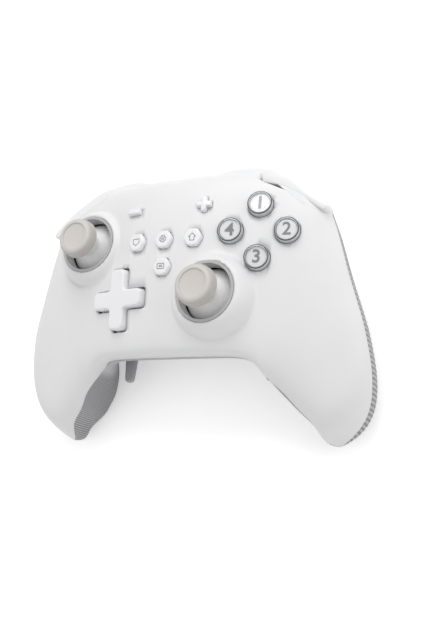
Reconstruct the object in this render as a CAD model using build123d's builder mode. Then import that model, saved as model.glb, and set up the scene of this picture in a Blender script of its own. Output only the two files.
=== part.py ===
from build123d import *
import math
import os

# A two-handed gamepad as separate pieces, in millimetres.
# It lies on its grips and triggers with the face up: +Z out of the face, +X to the player's right,
# +Y to the bumpers. The origin is the middle of the underside of its box.

os.makedirs("parts", exist_ok=True)

# Housing: overall sizes
half_width = 77.2
body_length = 102.2
grip_length = 28.7
body_depth = 51.0
face_level = 49.11
top_edge_y = 49.6
wall = 2.2
seam = 0.15
overrun = 60.0
running_gap = 0.05
seat_gap = 0.1

# The face is a shallow dome, flatter towards the grips
dome_radius_x = 105.0
dome_flat_x = 75.0
dome_radius_y = 192.5
dome_crest_drop = 26.5

# Where the controls stand on the face, from the middle plane and from the face's datum line
datum_drop = 18.4
high_stick_x = 37.25
high_y = -9.3
low_stick_x = 19.9
low_y = -33.6
diamond_half = 10.55
middle_x = 12.3
middle_y = -11.4
lower_middle_y = -22.3
symbol_x = 15.6
symbol_y = 2.0

# Thumb sticks
ring_bore = 10.9
ring_outer = 12.0
ring_foot = 1.0
ring_lip = 0.15
rim_height = 4.5
collar_base = 17.5
collar_depth = 11.0
collar_relief = 13.4
relief_depth = 1.6
pivot_depth = 8.5
dome_ball = 12.4
dome_wall = 0.9
hem_angle = 76.0
neck_radius = 2.9
cone_foot = 4.6
cone_top = 3.7
cap_lift = 4.0
cap_height = 5.8
cap_radius = 8.0
cap_foot_radius = 6.2
cap_side = 2.6
cap_shoulder = 2.0
cap_face_radius = 5.6
cap_dish = 0.8
stem_radius = 1.7
stem_foot = 3.2
stem_head = 4.2

# Gimbals, one shape for the sticks and one for the cross pad
hub_radius = 3.2
hub_half = 1.6
gimbal_bore = 3.6
gimbal_outer = 5.2
gimbal_half = 1.3
pin_radius = 0.8
pin_reach = 1.8
base_half = 7.5
base_wall = 1.5
base_rise = 2.0
base_floor_depth = 5.55
switch_side = 4.0
switch_height = 1.2
plunger_radius = 1.0
plunger_height = 0.6

# Cross pad
pad_height = 2.3
pad_half = 12.1
pad_arm_half = 3.55
pad_corner = 1.6
pad_edge = 0.9
pad_skirt = 1.5
pad_skirt_thickness = 0.9
pad_pivot_depth = 6.4
pad_tilt_gap = 1.15
pad_base_rise = 1.2
pad_foot_place = 10.6
pad_foot_drop = 0.9

# Round face buttons
button_height = 2.7
button_radius = 4.85
button_core_radius = 3.85
button_lens_top = 0.7
button_round = 0.7
button_flange = 0.8
button_flange_thickness = 0.9
button_foot_room = 1.5
button_dome_height = 1.6

# Six-sided and symbol buttons
hex_radius = 3.9
hex_corner = 0.9
hex_bevel = 0.55
hex_height = 1.9
symbol_length = 5.8
symbol_width = 2.0
symbol_height = 2.0
symbol_edge = 0.35
symbol_corner = 0.5
small_flange = 0.7
small_flange_thickness = 0.8
small_foot_radius = 1.5
small_foot_room = 0.6
small_dome_height = 2.4

# Boards, mats and battery, by their levels under the face
board_level = -20.5
board_thickness = 1.6
board_half_x = 45.5
board_front = -46.0
board_back = -0.5
board_tongue_half = 6.5
board_tongue_back = 11.6
link_half_x = 4.0
link_half_y = 1.6
link_place_x = 2.0
link_place_y = -34.0
upper_level = -17.0
upper_left = -35.0
upper_bay = -22.0
upper_split = 6.0
upper_right = 53.0
upper_front = -46.0
upper_step = -12.0
upper_low_step = -24.5
upper_back = 5.8
upper_chamfer = 8.0
stick_clearing = 13.7
upper_post_side = 28.0
upper_post_back = 3.0
upper_post_front = -22.0
upper_post_arch = -42.0
upper_post_right = -1.0
mat_thickness = 0.8
mat_margin = 0.6
mat_half = 4.0
mat_border = 1.6
mat_wall = 0.6
mat_dome_foot = 3.4
mat_dome_top = 2.4
small_dome_foot = 2.6
small_dome_top = 1.7
battery_half_x = 21.0
battery_half_y = 13.0
battery_y = -20.0
battery_height = 4.8
battery_room = 1.0
battery_round = 1.2
battery_rib_x = 14.0
battery_rib_half = 1.0
post_radius = 1.9
post_x = 27.0
post_back_y = -3.5
post_front_y = -41.0

# Charging socket
socket_width = 8.94
socket_height = 3.26
socket_wall = 0.3
socket_length = 7.4
socket_set_back = 2.2
tongue_width = 6.7
tongue_height = 0.7
tongue_length = 4.5

# Bumpers
bumper_top = -9.5
bumper_foot = -17.2
bumper_round = 1.8
bumper_gap = 0.35
bumper_room_angle = 2.1
bumper_pivot_x = 17.5
bumper_pivot_y = 15.7
bumper_pin_radius = 1.0
bumper_pin_reach = 1.1
bumper_open_x = 35.0
pocket_wall = 1.6
pocket_floor = 1.5

# Triggers
trigger_middle_x = 33.0
trigger_yaw = 14.0
trigger_pivot_reach = 9.0
trigger_pivot_level = -23.7
trigger_width = 19.0
trigger_side_gap = 0.4
trigger_side_wall = 2.2
trigger_hub_radius = 2.8
trigger_pin_radius = 1.2
trigger_wall_hold = 1.9
trigger_room = 0.5
trigger_reach = 20.5
trigger_drop = 47.5

# Rear paddles
paddle_x = 32.7
paddle_width = 5.4
paddle_tip_width = 3.6
paddle_thickness = 2.4
paddle_tip_y = -59.4
paddle_hinge_y = -27.5
paddle_level = -37.8
paddle_barrel = 1.9
paddle_pin_radius = 0.75
paddle_side_gap = 0.25
paddle_ear = 1.8
paddle_ear_radius = 2.2
paddle_edge = 0.7

# Rumble motors
motor_x = 57.0
motor_front = -62.0
motor_length = 13.0
motor_radius = 6.0
motor_level = -33.5
motor_round = 0.8
shaft_radius = 0.75
shaft_length = 7.0
weight_radius = 6.6
weight_inner = 2.0
weight_thickness = 4.5
weight_gap = 1.0
cradle_half = 4.5
cradle_margin = 1.5

# Housing screws
screw_radius = 1.0
screw_head_radius = 1.9
screw_head_height = 1.4
screw_bite = 6.0
screw_land = 2.2
boss_radius = 2.6
tube_radius = 3.2
recess_radius = 2.2
driver_cross = 0.5
driver_depth = 0.7
top_screw_x = 11.0
top_screw_y = 9.2
top_screw_joint = -19.0
arch_screw_x = 22.5
arch_screw_y = -49.6
arch_screw_joint = -17.0
grip_screw_x = 68.5
grip_screw_y = -49.5
grip_screw_joint = -30.0

# Gaps and travels
collar_gap = 0.1
flange_gap = 0.3
hole_gap = 0.25
pad_hole_gap = 0.6
face_hole_depth = 5.0
stem_travel = 0.5
post_gap = 0.6

# How far the parting surface runs past the housing's walls, and how high its block stands
parting_inward = 3.0
parting_outward = 6.0
parting_rise = 9.0
patch = 4.5
tip_overrun_share = 0.6
quarter_turn = 90

# Where the grip covers meet the rear shell: a slanting cut, outer end and inner end
cover_outer_x = 74.0
cover_outer_y = 2.0
cover_inner_x = 29.0
cover_inner_y = -50.0

# Shares that shape the housing, station by station from the middle plane to a grip's tip:
# inner x, inner y, outer x, outer y, then side inner, side outer, back inner, back outer levels
station_shares = [
    (0.000, 0.000, 0.000, 0.000, 0.250, 0.260, 0.640, 0.608),
    (0.197, 0.000, 0.225, 0.000, 0.250, 0.260, 0.640, 0.608),
    (0.374, 0.002, 0.530, 0.026, 0.302, 0.226, 0.659, 0.608),
    (0.440, 0.074, 0.750, 0.124, 0.382, 0.275, 0.739, 0.626),
    (0.486, 0.217, 0.818, 0.223, 0.440, 0.343, 0.878, 0.667),
    (0.533, 0.367, 0.891, 0.410, 0.502, 0.388, 0.959, 0.724),
    (0.583, 0.517, 0.965, 0.605, 0.584, 0.467, 1.000, 0.822),
    (0.634, 0.667, 0.992, 0.759, 0.669, 0.578, 1.000, 0.902),
    (0.719, 0.829, 0.964, 0.877, 0.706, 0.735, 0.931, 0.914),
]
# How square each corner of a station is: front inner, front outer, back outer, back inner
square_shares = [
    (0.99, 0.64, 0.33, 0.27),
    (0.99, 0.69, 0.33, 0.27),
    (0.97, 0.72, 0.30, 0.23),
    (0.92, 0.64, 0.23, 0.23),
    (0.72, 0.42, 0.19, 0.42),
    (0.33, 0.23, 0.15, 0.51),
    (0.19, 0.19, 0.15, 0.47),
    (0.15, 0.15, 0.19, 0.44),
    (0.19, 0.05, 0.19, 0.23),
]
# Control points of a round corner, and how much further out they lie on a square one
round_reach_share = 0.414
square_reach_share = 0.550
round_corner_share = 0.776
square_corner_share = 0.224
tip_share = (0.791, 0.815)
tip_angles = [25, 48, 68, 82]
station_steps = 6
# Outline of a stick collar: shares of its base radius and of its depth, from the bore outward
collar_shares = [
    (0.691, 0.027),
    (0.720, 0.000),
    (0.766, 0.032),
    (0.817, 0.127),
    (0.903, 0.364),
    (0.971, 0.727),
    (1.000, 1.000),
]
# Plan of a bumper, outer edge from its hinge to its end: shares of the half width and body length
bumper_outer_shares = [
    (0.188, 0.186),
    (0.294, 0.202),
    (0.409, 0.194),
    (0.522, 0.178),
    (0.614, 0.135),
    (0.685, 0.100),
    (0.746, 0.061),
    (0.790, 0.027),
    (0.811, -0.002),
]
bumper_inner_shares = [
    (0.784, -0.015),
    (0.699, 0.034),
    (0.609, 0.083),
    (0.492, 0.120),
    (0.363, 0.131),
    (0.188, 0.129),
]
# Side outline of a trigger: shares of its reach and its drop, outer edge down, then inner edge up
trigger_outer_shares = [
    (0.805, 0.440),
    (0.951, 0.520),
    (1.000, 0.653),
    (0.976, 0.832),
    (0.878, 1.000),
]
trigger_inner_shares = [
    (0.722, 0.981),
    (0.780, 0.842),
    (0.795, 0.695),
    (0.659, 0.589),
]

face_y = top_edge_y - datum_drop
crest_y = top_edge_y - dome_crest_drop
arch_y = top_edge_y - body_length + grip_length
tip = Vector(tip_share[0] * half_width, top_edge_y - body_length, face_level - tip_share[1] * body_depth)
last_station = len(station_shares) - 1
stick_places = [(-high_stick_x, high_y), (low_stick_x, low_y)]
diamond_places = [
    (high_stick_x, high_y + diamond_half),
    (high_stick_x + diamond_half, high_y),
    (high_stick_x, high_y - diamond_half),
    (high_stick_x - diamond_half, high_y),
]
hex_places = [(-middle_x, middle_y), (0, middle_y), (middle_x, middle_y), (0, lower_middle_y)]
symbol_places = [(-symbol_x, symbol_y), (symbol_x, symbol_y)]
screw_places = [
    (top_screw_x, top_screw_y, top_screw_joint),
    (arch_screw_x, arch_screw_y, arch_screw_joint),
    (grip_screw_x, grip_screw_y, grip_screw_joint),
]
hands = [1, -1]
mat_top = upper_level + mat_thickness
upper_posts = [
    (0, upper_post_back),
    (-upper_post_side, upper_post_front),
    (0, upper_post_arch),
    (upper_post_side, upper_post_right),
]
paddle_axle_level = paddle_level + paddle_thickness / 2


def face_z(x, y):
    """Height of the face over the table."""
    across = x * x / (2 * dome_radius_x) / (1 + (x / dome_flat_x) ** 2)
    along = (y - crest_y) ** 2 / (2 * dome_radius_y)
    return face_level - across - along


def between(rows, place):
    """A row of shares at a place between the listed stations, on a smooth curve through them."""
    low = min(int(place), last_station - 1)
    part = place - low
    values = []
    for column in range(len(rows[0])):
        near = rows[low][column]
        far = rows[low + 1][column]
        before = rows[low - 1][column] if low > 0 else near
        after = rows[low + 2][column] if low + 2 <= last_station else 2 * far - near
        start = (far - before) / 2 if low > 0 else 0
        end = (after - near) / 2
        bend = near - far
        third = 2 * bend + start + end
        second = -3 * bend - 2 * start - end
        values.append(near + part * (start + part * (second + part * third)))
    return values


def station(index):
    """Inner point, outer point and the four levels of one station, from the shares."""
    row = between(station_shares, index)
    inner = Vector(row[0] * half_width, arch_y - row[1] * grip_length)
    outer = Vector(row[2] * half_width, top_edge_y - row[3] * body_length)
    levels = [face_level - share * body_depth for share in row[4:]]
    return inner, outer, levels


def corner_ways(square, across, rise):
    """Control points of one corner, from its side to its top or bottom, on a unit section."""
    reach = round_reach_share + square_reach_share * square
    corner = round_corner_share + square_corner_share * square
    ways = [(1, 0), (1, reach), (corner, corner), (reach, 1), (0, 1)]
    return [(across * a, rise * r) for a, r in ways]


def station_corners(index, inset):
    """Control points of the station's four corners in its own plane: along it, and height."""
    inner, outer, (side_in, side_out, back_in, back_out) = station(index)
    length = (outer - inner).length
    square = between(square_shares, index)
    corners = [
        corner_ways(square[0], -1, 1),
        corner_ways(square[1], 1, 1)[::-1],
        corner_ways(square[2], 1, -1),
        corner_ways(square[3], -1, -1)[::-1],
    ]
    middle = (inner + outer) / 2
    step = (outer - inner) / 2
    crown = face_z(middle.X, middle.Y)
    slope = (face_z(middle.X + step.X, middle.Y + step.Y) - face_z(middle.X - step.X, middle.Y - step.Y)) / 2

    def place(across, rise):
        along = length / 2 + across * (length / 2 - inset)
        share = along / length
        side = side_in + (side_out - side_in) * share
        if rise < 0:
            edge = back_in + (back_out - back_in) * share + inset
        elif rise < 1:
            spot = inner + (outer - inner) * share
            edge = face_z(spot.X, spot.Y) - inset
        else:
            edge = crown + slope * across - inset
        return along, side + (edge - side) * abs(rise)

    return [[place(across, rise) for across, rise in corner] for corner in corners]


def station_plane(index, hand, shift=Vector(0, 0, 0)):
    """The upright plane of a station, on the right (hand 1) or the left (hand -1)."""
    inner, outer, levels = station(index)
    way = (outer - inner).normalized()
    origin = Vector(hand * (inner.X + shift.X), inner.Y + shift.Y, shift.Z)
    return Plane(origin, x_dir=(hand * way.X, way.Y, 0), z_dir=(way.Y, -hand * way.X, 0))


def outline(plane, corners):
    """A smooth closed section of four corner curves."""
    with BuildSketch(plane) as section:
        with BuildLine():
            for corner in corners:
                Bezier(corner)
        make_face()
    return section.sketch


def tip_step(angle):
    """How far a tip section has moved to the tip and how much of its size is left."""
    points = [point for corner in station_corners(last_station, 0) for point in corner]
    middle_a = sum(p[0] for p in points) / len(points)
    middle_z = sum(p[1] for p in points) / len(points)
    inner, outer, levels = station(last_station)
    centre = inner + (outer - inner).normalized() * middle_a
    shift = (tip - Vector(centre.X, centre.Y, middle_z)) * math.sin(math.radians(angle))
    return (middle_a, middle_z), shift, math.cos(math.radians(angle))


def shrink(corners, middle, scale):
    """Corners drawn in towards the middle of their section."""
    a0, z0 = middle
    return [[(a0 + (a - a0) * scale, z0 + (z - z0) * scale) for a, z in corner] for corner in corners]


def side_sections(inset):
    """Sections of the right half, from the middle plane to the last station."""
    places = [k / station_steps for k in range(last_station * station_steps + 1)]
    return [outline(station_plane(place, 1), station_corners(place, inset)) for place in places]


def tip_sections():
    """Sections from the last station to the grip's tip."""
    sections = [outline(station_plane(last_station, 1), station_corners(last_station, 0))]
    for angle in tip_angles:
        middle, shift, scale = tip_step(angle)
        corners = shrink(station_corners(last_station, 0), middle, scale)
        sections.append(outline(station_plane(last_station, 1, shift), corners))
    sections.append(Vertex(tip.X, tip.Y, tip.Z))
    return sections


def parting_quad(plane, side, drop, rise):
    """The part of a station's plane that lies in front of the parting line."""
    (low_a, low_z), (high_a, high_z) = side
    slope = (high_z - low_z) / max(high_a - low_a, wall)
    start = (low_a - parting_inward, low_z - slope * parting_inward - drop)
    end = (high_a + parting_outward, high_z + slope * parting_outward - drop)
    with BuildSketch(plane) as section:
        Polygon(start, end, (end[0], rise), (start[0], rise), align=None)
    return section.sketch


def parting_sections(drop):
    """Sections of the parting block, from the middle plane to the last station."""
    sections = []
    for k in range(last_station * station_steps + 1):
        inner, outer, levels = station(k / station_steps)
        side = ((0, levels[0]), ((outer - inner).length, levels[1]))
        plane = station_plane(k / station_steps, 1)
        sections.append(parting_quad(plane, side, drop, face_level + parting_rise))
    return sections


def tip_parting_sections(drop):
    """Sections of the parting block from the last station to beyond the grip's tip."""
    inner, outer, levels = station(last_station)
    ends = [(0, levels[0]), ((outer - inner).length, levels[1])]
    sections = []
    for angle in [0] + tip_angles + [quarter_turn]:
        (middle_a, middle_z), shift, scale = tip_step(angle)
        side = [(middle_a + (a - middle_a) * scale, middle_z + (z - middle_z) * scale) for a, z in ends]
        plane = station_plane(last_station, 1, shift)
        sections.append(parting_quad(plane, side, drop, face_level + parting_rise - shift.Z))
    shift = shift + Vector(shift.X, shift.Y, 0) * tip_overrun_share
    plane = station_plane(last_station, 1, shift)
    sections.append(parting_quad(plane, side, drop, face_level + parting_rise - shift.Z))
    return sections


def spot(x, y, level=0):
    """A point by its distance to the middle plane, to the datum line and to the face level."""
    return Vector(x, face_y + y, face_level + level)


def rod(plane, start, end, radius, mode=Mode.ADD):
    """A cylinder along a plane's normal, between two distances from the plane."""
    with BuildSketch(plane.offset(start)) as section:
        Circle(radius)
    extrude(section.sketch, amount=end - start, mode=mode)


def column(x, y, low, high, radius, mode=Mode.ADD):
    """An upright cylinder between two levels."""
    rod(Plane(spot(x, y)), low, high, radius, mode)


def block(x_span, y_span, level_span, mode=Mode.ADD):
    """An upright box between two distances each way."""
    spans = (x_span, y_span, level_span)
    middle = spot(*[(low + high) / 2 for low, high in spans])
    with Locations(middle):
        Box(*[high - low for low, high in spans], mode=mode)


def sideways(plane):
    """The plane turned so that it faces along its old x direction."""
    return Plane(plane.origin, x_dir=plane.y_dir, z_dir=plane.x_dir)


def lengthways(plane):
    """The plane turned so that it faces along its old y direction."""
    return Plane(plane.origin, x_dir=plane.z_dir, z_dir=plane.y_dir)


def rounded_cross(plane, long, short):
    """A cross of two rounded bars."""
    with BuildSketch(plane) as section:
        RectangleRounded(long, short, pad_corner)
        RectangleRounded(short, long, pad_corner)
    return section.sketch


def hexagon(plane, grow):
    """A six-sided outline with round corners."""
    with BuildSketch(plane) as section:
        RegularPolygon(radius=hex_radius + grow, side_count=6)
        fillet(section.vertices(), radius=hex_corner)
    return section.sketch


def symbol(plane, is_plus, grow):
    """A short bar or a plus sign."""
    long = symbol_length + 2 * grow
    short = symbol_width + 2 * grow
    with BuildSketch(plane) as section:
        RectangleRounded(long, short, symbol_corner)
        if is_plus:
            RectangleRounded(short, long, symbol_corner)
    return section.sketch


def collar(x, y):
    """A raised collar round a stick opening."""
    rim = face_z(x, face_y + y) + rim_height
    place = Plane((x, face_y + y, rim), x_dir=(1, 0, 0), z_dir=(0, -1, 0))
    bore = ring_outer + collar_gap
    points = [(r * collar_base, -d * collar_depth) for r, d in collar_shares]
    with BuildSketch(place) as section:
        with BuildLine():
            Spline(*points)
            Polyline(points[-1], (bore, -collar_depth), (bore, points[0][1]), points[0])
        make_face()
    revolve(section.sketch, axis=Axis((x, face_y + y, 0), (0, 0, 1)))


def bumper_points():
    """Corners of a bumper's plan: the outer edge, then the inner edge back to the hinge."""
    shares = bumper_outer_shares + bumper_inner_shares
    return [(a * half_width, face_y + b * body_length) for a, b in shares]


def turned(points, centre, angle):
    """Points turned about a centre, clockwise, by an angle in degrees."""
    cosine = math.cos(math.radians(angle))
    sine = math.sin(math.radians(angle))
    moved = []
    for x, y in points:
        a = x - centre[0]
        b = y - centre[1]
        moved.append((centre[0] + a * cosine + b * sine, centre[1] - a * sine + b * cosine))
    return moved


def bumper_room(low, high, grow):
    """The room that a bumper sweeps, grown on all sides, between two levels."""
    centre = (bumper_pivot_x, face_y + bumper_pivot_y)
    for angle in (0, bumper_room_angle / 2, bumper_room_angle):
        with BuildSketch(Plane.XY.offset(face_level + low)) as section:
            Polygon(*turned(bumper_points(), centre, angle), align=None)
            offset(amount=grow)
        extrude(section.sketch, amount=high - low)


def trigger_box(half, reach_span, level_span, mode=Mode.ADD):
    """A box in the frame of the right trigger: across it, outward, and by level."""
    middle = Location((0, sum(reach_span) / 2, sum(level_span) / 2))
    with Locations(Location(spot(trigger_middle_x, 0), (0, 0, -trigger_yaw)) * middle):
        Box(2 * half, reach_span[1] - reach_span[0], level_span[1] - level_span[0], mode=mode)


trigger_way = Vector(math.sin(math.radians(trigger_yaw)), math.cos(math.radians(trigger_yaw)), 0)
trigger_across = Vector(trigger_way.Y, -trigger_way.X, 0)
trigger_side = Plane(spot(trigger_middle_x, 0), x_dir=trigger_way, z_dir=trigger_across)
trigger_pivot = spot(trigger_middle_x, 0, trigger_pivot_level) + trigger_way * trigger_pivot_reach
trigger_axle = Plane(trigger_pivot, x_dir=trigger_way, z_dir=trigger_across)

# Rooms behind the bumpers and triggers, and the walls that close them off
bumper_floor = bumper_foot - bumper_gap
trigger_roof = min(bumper_floor, upper_level - board_thickness - hole_gap)
trigger_ceiling = trigger_roof - pocket_floor
trigger_back = trigger_pivot_reach - trigger_hub_radius - trigger_room
trigger_half_room = trigger_width / 2 + trigger_side_gap
with BuildPart() as bumper_pocket:
    bumper_room(bumper_floor, bumper_top + bumper_gap, bumper_gap)

with BuildPart() as bumper_opening:
    bumper_room(bumper_top, parting_rise, bumper_gap)
    block((bumper_open_x - overrun, bumper_open_x), (-overrun, overrun), (-overrun, overrun), Mode.SUBTRACT)

with BuildPart() as bumper_wall:
    bumper_room(trigger_ceiling, 0, bumper_gap + pocket_wall)

with BuildPart() as trigger_pocket:
    trigger_box(trigger_half_room, (trigger_back, overrun), (-overrun, trigger_ceiling))

with BuildPart() as trigger_wall:
    trigger_box(
        trigger_half_room + trigger_side_wall,
        (trigger_back - pocket_wall, overrun),
        (-overrun, trigger_roof),
    )

with BuildPart() as outer_form:
    loft(sections=side_sections(0), ruled=True)
    loft(sections=tip_sections(), ruled=True)
    mirror(about=Plane.YZ)

with BuildPart() as cavity_form:
    loft(sections=side_sections(wall), ruled=True)
    add(bumper_wall.part, mode=Mode.SUBTRACT)
    add(trigger_wall.part, mode=Mode.SUBTRACT)
    mirror(about=Plane.YZ)

with BuildPart() as front_block:
    loft(sections=parting_sections(0), ruled=True)
    loft(sections=tip_parting_sections(0), ruled=True)
    mirror(about=Plane.YZ)


def surface_levels(x, y):
    """Levels of the housing's underside and face, straight below and above a place."""
    hits = outer_form.part.find_intersection_points(Axis(spot(x, y), (0, 0, 1)))
    heights = [hit[0].Z - face_level for hit in hits]
    return min(heights), max(heights)


def face_plane(x, y):
    """Plane that lies on a small patch of the face and looks outward."""
    right, left = surface_levels(x + patch, y)[1], surface_levels(x - patch, y)[1]
    far, near = surface_levels(x, y + patch)[1], surface_levels(x, y - patch)[1]
    slope_x = (right - left) / (2 * patch)
    slope_y = (far - near) / (2 * patch)
    level = (right + left + far + near) / 4
    return Plane(spot(x, y, level), x_dir=(1, 0, slope_x), z_dir=(-slope_x, -slope_y, 1))


def under_face(x, y):
    """Level half way into the front wall."""
    return surface_levels(x, y)[1] - wall / 2


def over_floor(x, y):
    """Level half way into the rear wall."""
    return surface_levels(x, y)[0] + wall / 2


with BuildPart() as shell_form:
    add(outer_form.part)
    for place in stick_places:
        collar(*place)
    add(cavity_form.part, mode=Mode.SUBTRACT)
    for x, y in stick_places:
        centre = Plane((x, face_y + y, face_z(x, face_y + y)))
        rod(centre, -collar_depth, rim_height, ring_outer + collar_gap, Mode.SUBTRACT)
        rod(centre, -collar_depth, -relief_depth, collar_relief, Mode.SUBTRACT)
    for room in (bumper_pocket, bumper_opening, trigger_pocket):
        add(room.part, mode=Mode.SUBTRACT)
        add(mirror(room.part, about=Plane.YZ, mode=Mode.PRIVATE), mode=Mode.SUBTRACT)


def face_holes():
    """Openings in the face for the buttons and the cross pad."""
    for x, y in diamond_places:
        plane = face_plane(x, y)
        rod(plane, -face_hole_depth, face_hole_depth, button_radius + hole_gap, Mode.SUBTRACT)
        rod(plane, -face_hole_depth, -wall, button_radius + button_flange + hole_gap, Mode.SUBTRACT)
    for x, y in hex_places:
        plane = face_plane(x, y).offset(-face_hole_depth)
        extrude(hexagon(plane, hole_gap), amount=2 * face_hole_depth, mode=Mode.SUBTRACT)
    for x, y in symbol_places:
        plane = face_plane(x, y).offset(-face_hole_depth)
        extrude(symbol(plane, x > 0, hole_gap), amount=2 * face_hole_depth, mode=Mode.SUBTRACT)
    long = 2 * (pad_half + pad_hole_gap)
    short = 2 * (pad_arm_half + pad_hole_gap)
    plane = face_plane(-low_stick_x, low_y).offset(-face_hole_depth)
    extrude(rounded_cross(plane, long, short), amount=2 * face_hole_depth, mode=Mode.SUBTRACT)
    skirt = rounded_cross(plane, long + 2 * pad_skirt, short + 2 * pad_skirt)
    extrude(skirt, amount=face_hole_depth - wall, mode=Mode.SUBTRACT)


with BuildPart() as front_shell:
    add(shell_form.part)
    add(front_block.part, mode=Mode.INTERSECT)
    for x, y, joint in screw_places:
        for hand in hands:
            column(hand * x, y, joint, under_face(x, y), boss_radius)
            column(hand * x, y, joint, joint + screw_bite + post_gap, screw_radius, Mode.SUBTRACT)
    for x, y in upper_posts:
        column(x, y, upper_level, under_face(x, y), post_radius)
    face_holes()
    for hand in hands:
        top = bumper_top + bumper_gap
        reach = bumper_pin_reach + post_gap
        bore = bumper_pin_radius + running_gap
        column(hand * bumper_pivot_x, bumper_pivot_y, top - wall, top + reach, bore, Mode.SUBTRACT)

front_shell.part.label = "front_shell"
export_step(front_shell.part, "parts/front_shell.step")

with BuildPart() as floor_fixtures:
    for x, y, joint in screw_places:
        for hand in hands:
            column(hand * x, y, over_floor(x, y), joint - seam, tube_radius)
    board_foot = board_level - board_thickness
    for hand in hands:
        for y in (post_back_y, post_front_y):
            column(hand * post_x, y, over_floor(post_x, y), board_foot, post_radius)
        rib = hand * battery_rib_x
        block(
            (rib - battery_rib_half, rib + battery_rib_half),
            (battery_y - battery_half_y, battery_y + battery_half_y),
            (-body_depth, board_foot - battery_room - battery_height),
        )
        block(
            (hand * motor_x - cradle_half, hand * motor_x + cradle_half),
            (motor_front + cradle_margin, motor_front + motor_length - cradle_margin),
            (-body_depth, motor_level - cradle_half),
        )
    add(outer_form.part, mode=Mode.INTERSECT)

with BuildPart() as rear_form:
    add(shell_form.part)
    add(front_block.part.moved(Location((0, 0, -seam))), mode=Mode.SUBTRACT)
    add(floor_fixtures.part)
    for x, y, joint in screw_places:
        for hand in hands:
            seat = joint - screw_land
            column(hand * x, y, seat - overrun, seat, recess_radius, Mode.SUBTRACT)
            column(hand * x, y, seat, joint, screw_radius + seat_gap, Mode.SUBTRACT)
    for hand in hands:
        can = lengthways(Plane(spot(hand * motor_x, motor_front, motor_level)))
        rod(can, 0, motor_length, motor_radius, Mode.SUBTRACT)


def cover_side(hand, grow):
    """The room on the grip's side of the slanting cut between rear shell and grip cover."""
    across = cover_outer_x - cover_inner_x
    along = cover_outer_y - cover_inner_y
    angle = math.degrees(math.atan2(along, across))
    middle = spot((cover_outer_x + cover_inner_x) / 2, (cover_outer_y + cover_inner_y) / 2)
    with BuildPart() as side:
        with Locations(Location(middle, (0, 0, angle)) * Location((0, grow - overrun, -overrun))):
            Box(4 * overrun, 2 * overrun, 4 * overrun)
        if hand < 0:
            mirror(about=Plane.YZ, mode=Mode.REPLACE)
    return side.part


with BuildPart() as rear_shell:
    add(rear_form.part)
    for hand in hands:
        add(cover_side(hand, seam), mode=Mode.SUBTRACT)
    block(
        (-socket_width / 2 - hole_gap, socket_width / 2 + hole_gap),
        (board_tongue_back - socket_length, overrun),
        (board_level - hole_gap, board_level + socket_height + hole_gap),
        Mode.SUBTRACT,
    )
    for hand in hands:
        column(
            hand * bumper_pivot_x,
            bumper_pivot_y,
            bumper_floor - bumper_pin_reach - seat_gap,
            bumper_floor,
            bumper_pin_radius + running_gap,
            Mode.SUBTRACT,
        )
        for side in hands:
            near = paddle_width / 2 + paddle_side_gap
            ear = sideways(Plane(spot(hand * paddle_x, paddle_hinge_y, paddle_axle_level)))
            rod(ear, side * near, side * (near + paddle_ear), paddle_ear_radius)
            ends = (side * near, side * (near + paddle_ear))
            block(
                (hand * paddle_x + min(ends), hand * paddle_x + max(ends)),
                (paddle_hinge_y - paddle_ear_radius, paddle_hinge_y + paddle_ear_radius),
                (paddle_axle_level, over_floor(paddle_x, paddle_hinge_y)),
            )
        rod(ear, -overrun / 2, overrun / 2, paddle_pin_radius + running_gap, Mode.SUBTRACT)
    axle_hole = trigger_width / 2 + trigger_wall_hold
    rod(trigger_axle, -axle_hole, axle_hole, trigger_pin_radius, Mode.SUBTRACT)
    left_axle = Plane(
        (-trigger_axle.origin.X, trigger_axle.origin.Y, trigger_axle.origin.Z),
        x_dir=(-trigger_way.X, trigger_way.Y, 0),
        z_dir=(-trigger_across.X, trigger_across.Y, 0),
    )
    rod(left_axle, -axle_hole, axle_hole, trigger_pin_radius, Mode.SUBTRACT)

rear_shell.part.label = "rear_shell"
export_step(rear_shell.part, "parts/rear_shell.step")

with BuildPart() as right_grip_cover:
    add(rear_form.part)
    add(cover_side(1, 0), mode=Mode.INTERSECT)

right_grip_cover.part.label = "right_grip_cover"
export_step(right_grip_cover.part, "parts/right_grip_cover.step")

with BuildPart() as left_grip_cover:
    add(mirror(right_grip_cover.part, about=Plane.YZ, mode=Mode.PRIVATE))

left_grip_cover.part.label = "left_grip_cover"
export_step(left_grip_cover.part, "parts/left_grip_cover.step")



def stick_plane(place):
    """Upright plane through a stick's pivot."""
    x, y = place
    return Plane((x, face_y + y, face_z(x, face_y + y) - pivot_depth))


def gimbal(plane):
    """A ring with two stub pins, and holes for the pins of the hub inside it."""
    rod(plane, -gimbal_half, gimbal_half, gimbal_outer)
    pins = sideways(plane)
    rod(pins, -gimbal_outer - pin_reach, gimbal_outer + pin_reach, pin_radius)
    rod(plane, -gimbal_half, gimbal_half, gimbal_bore, Mode.SUBTRACT)
    rod(lengthways(plane), -gimbal_outer, gimbal_outer, pin_radius + running_gap, Mode.SUBTRACT)


def hub(plane):
    """The inner hub of a gimbal with its two pins."""
    rod(plane, -hub_half, hub_half, hub_radius)
    rod(lengthways(plane), -hub_radius - pin_reach, hub_radius + pin_reach, pin_radius)


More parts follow.
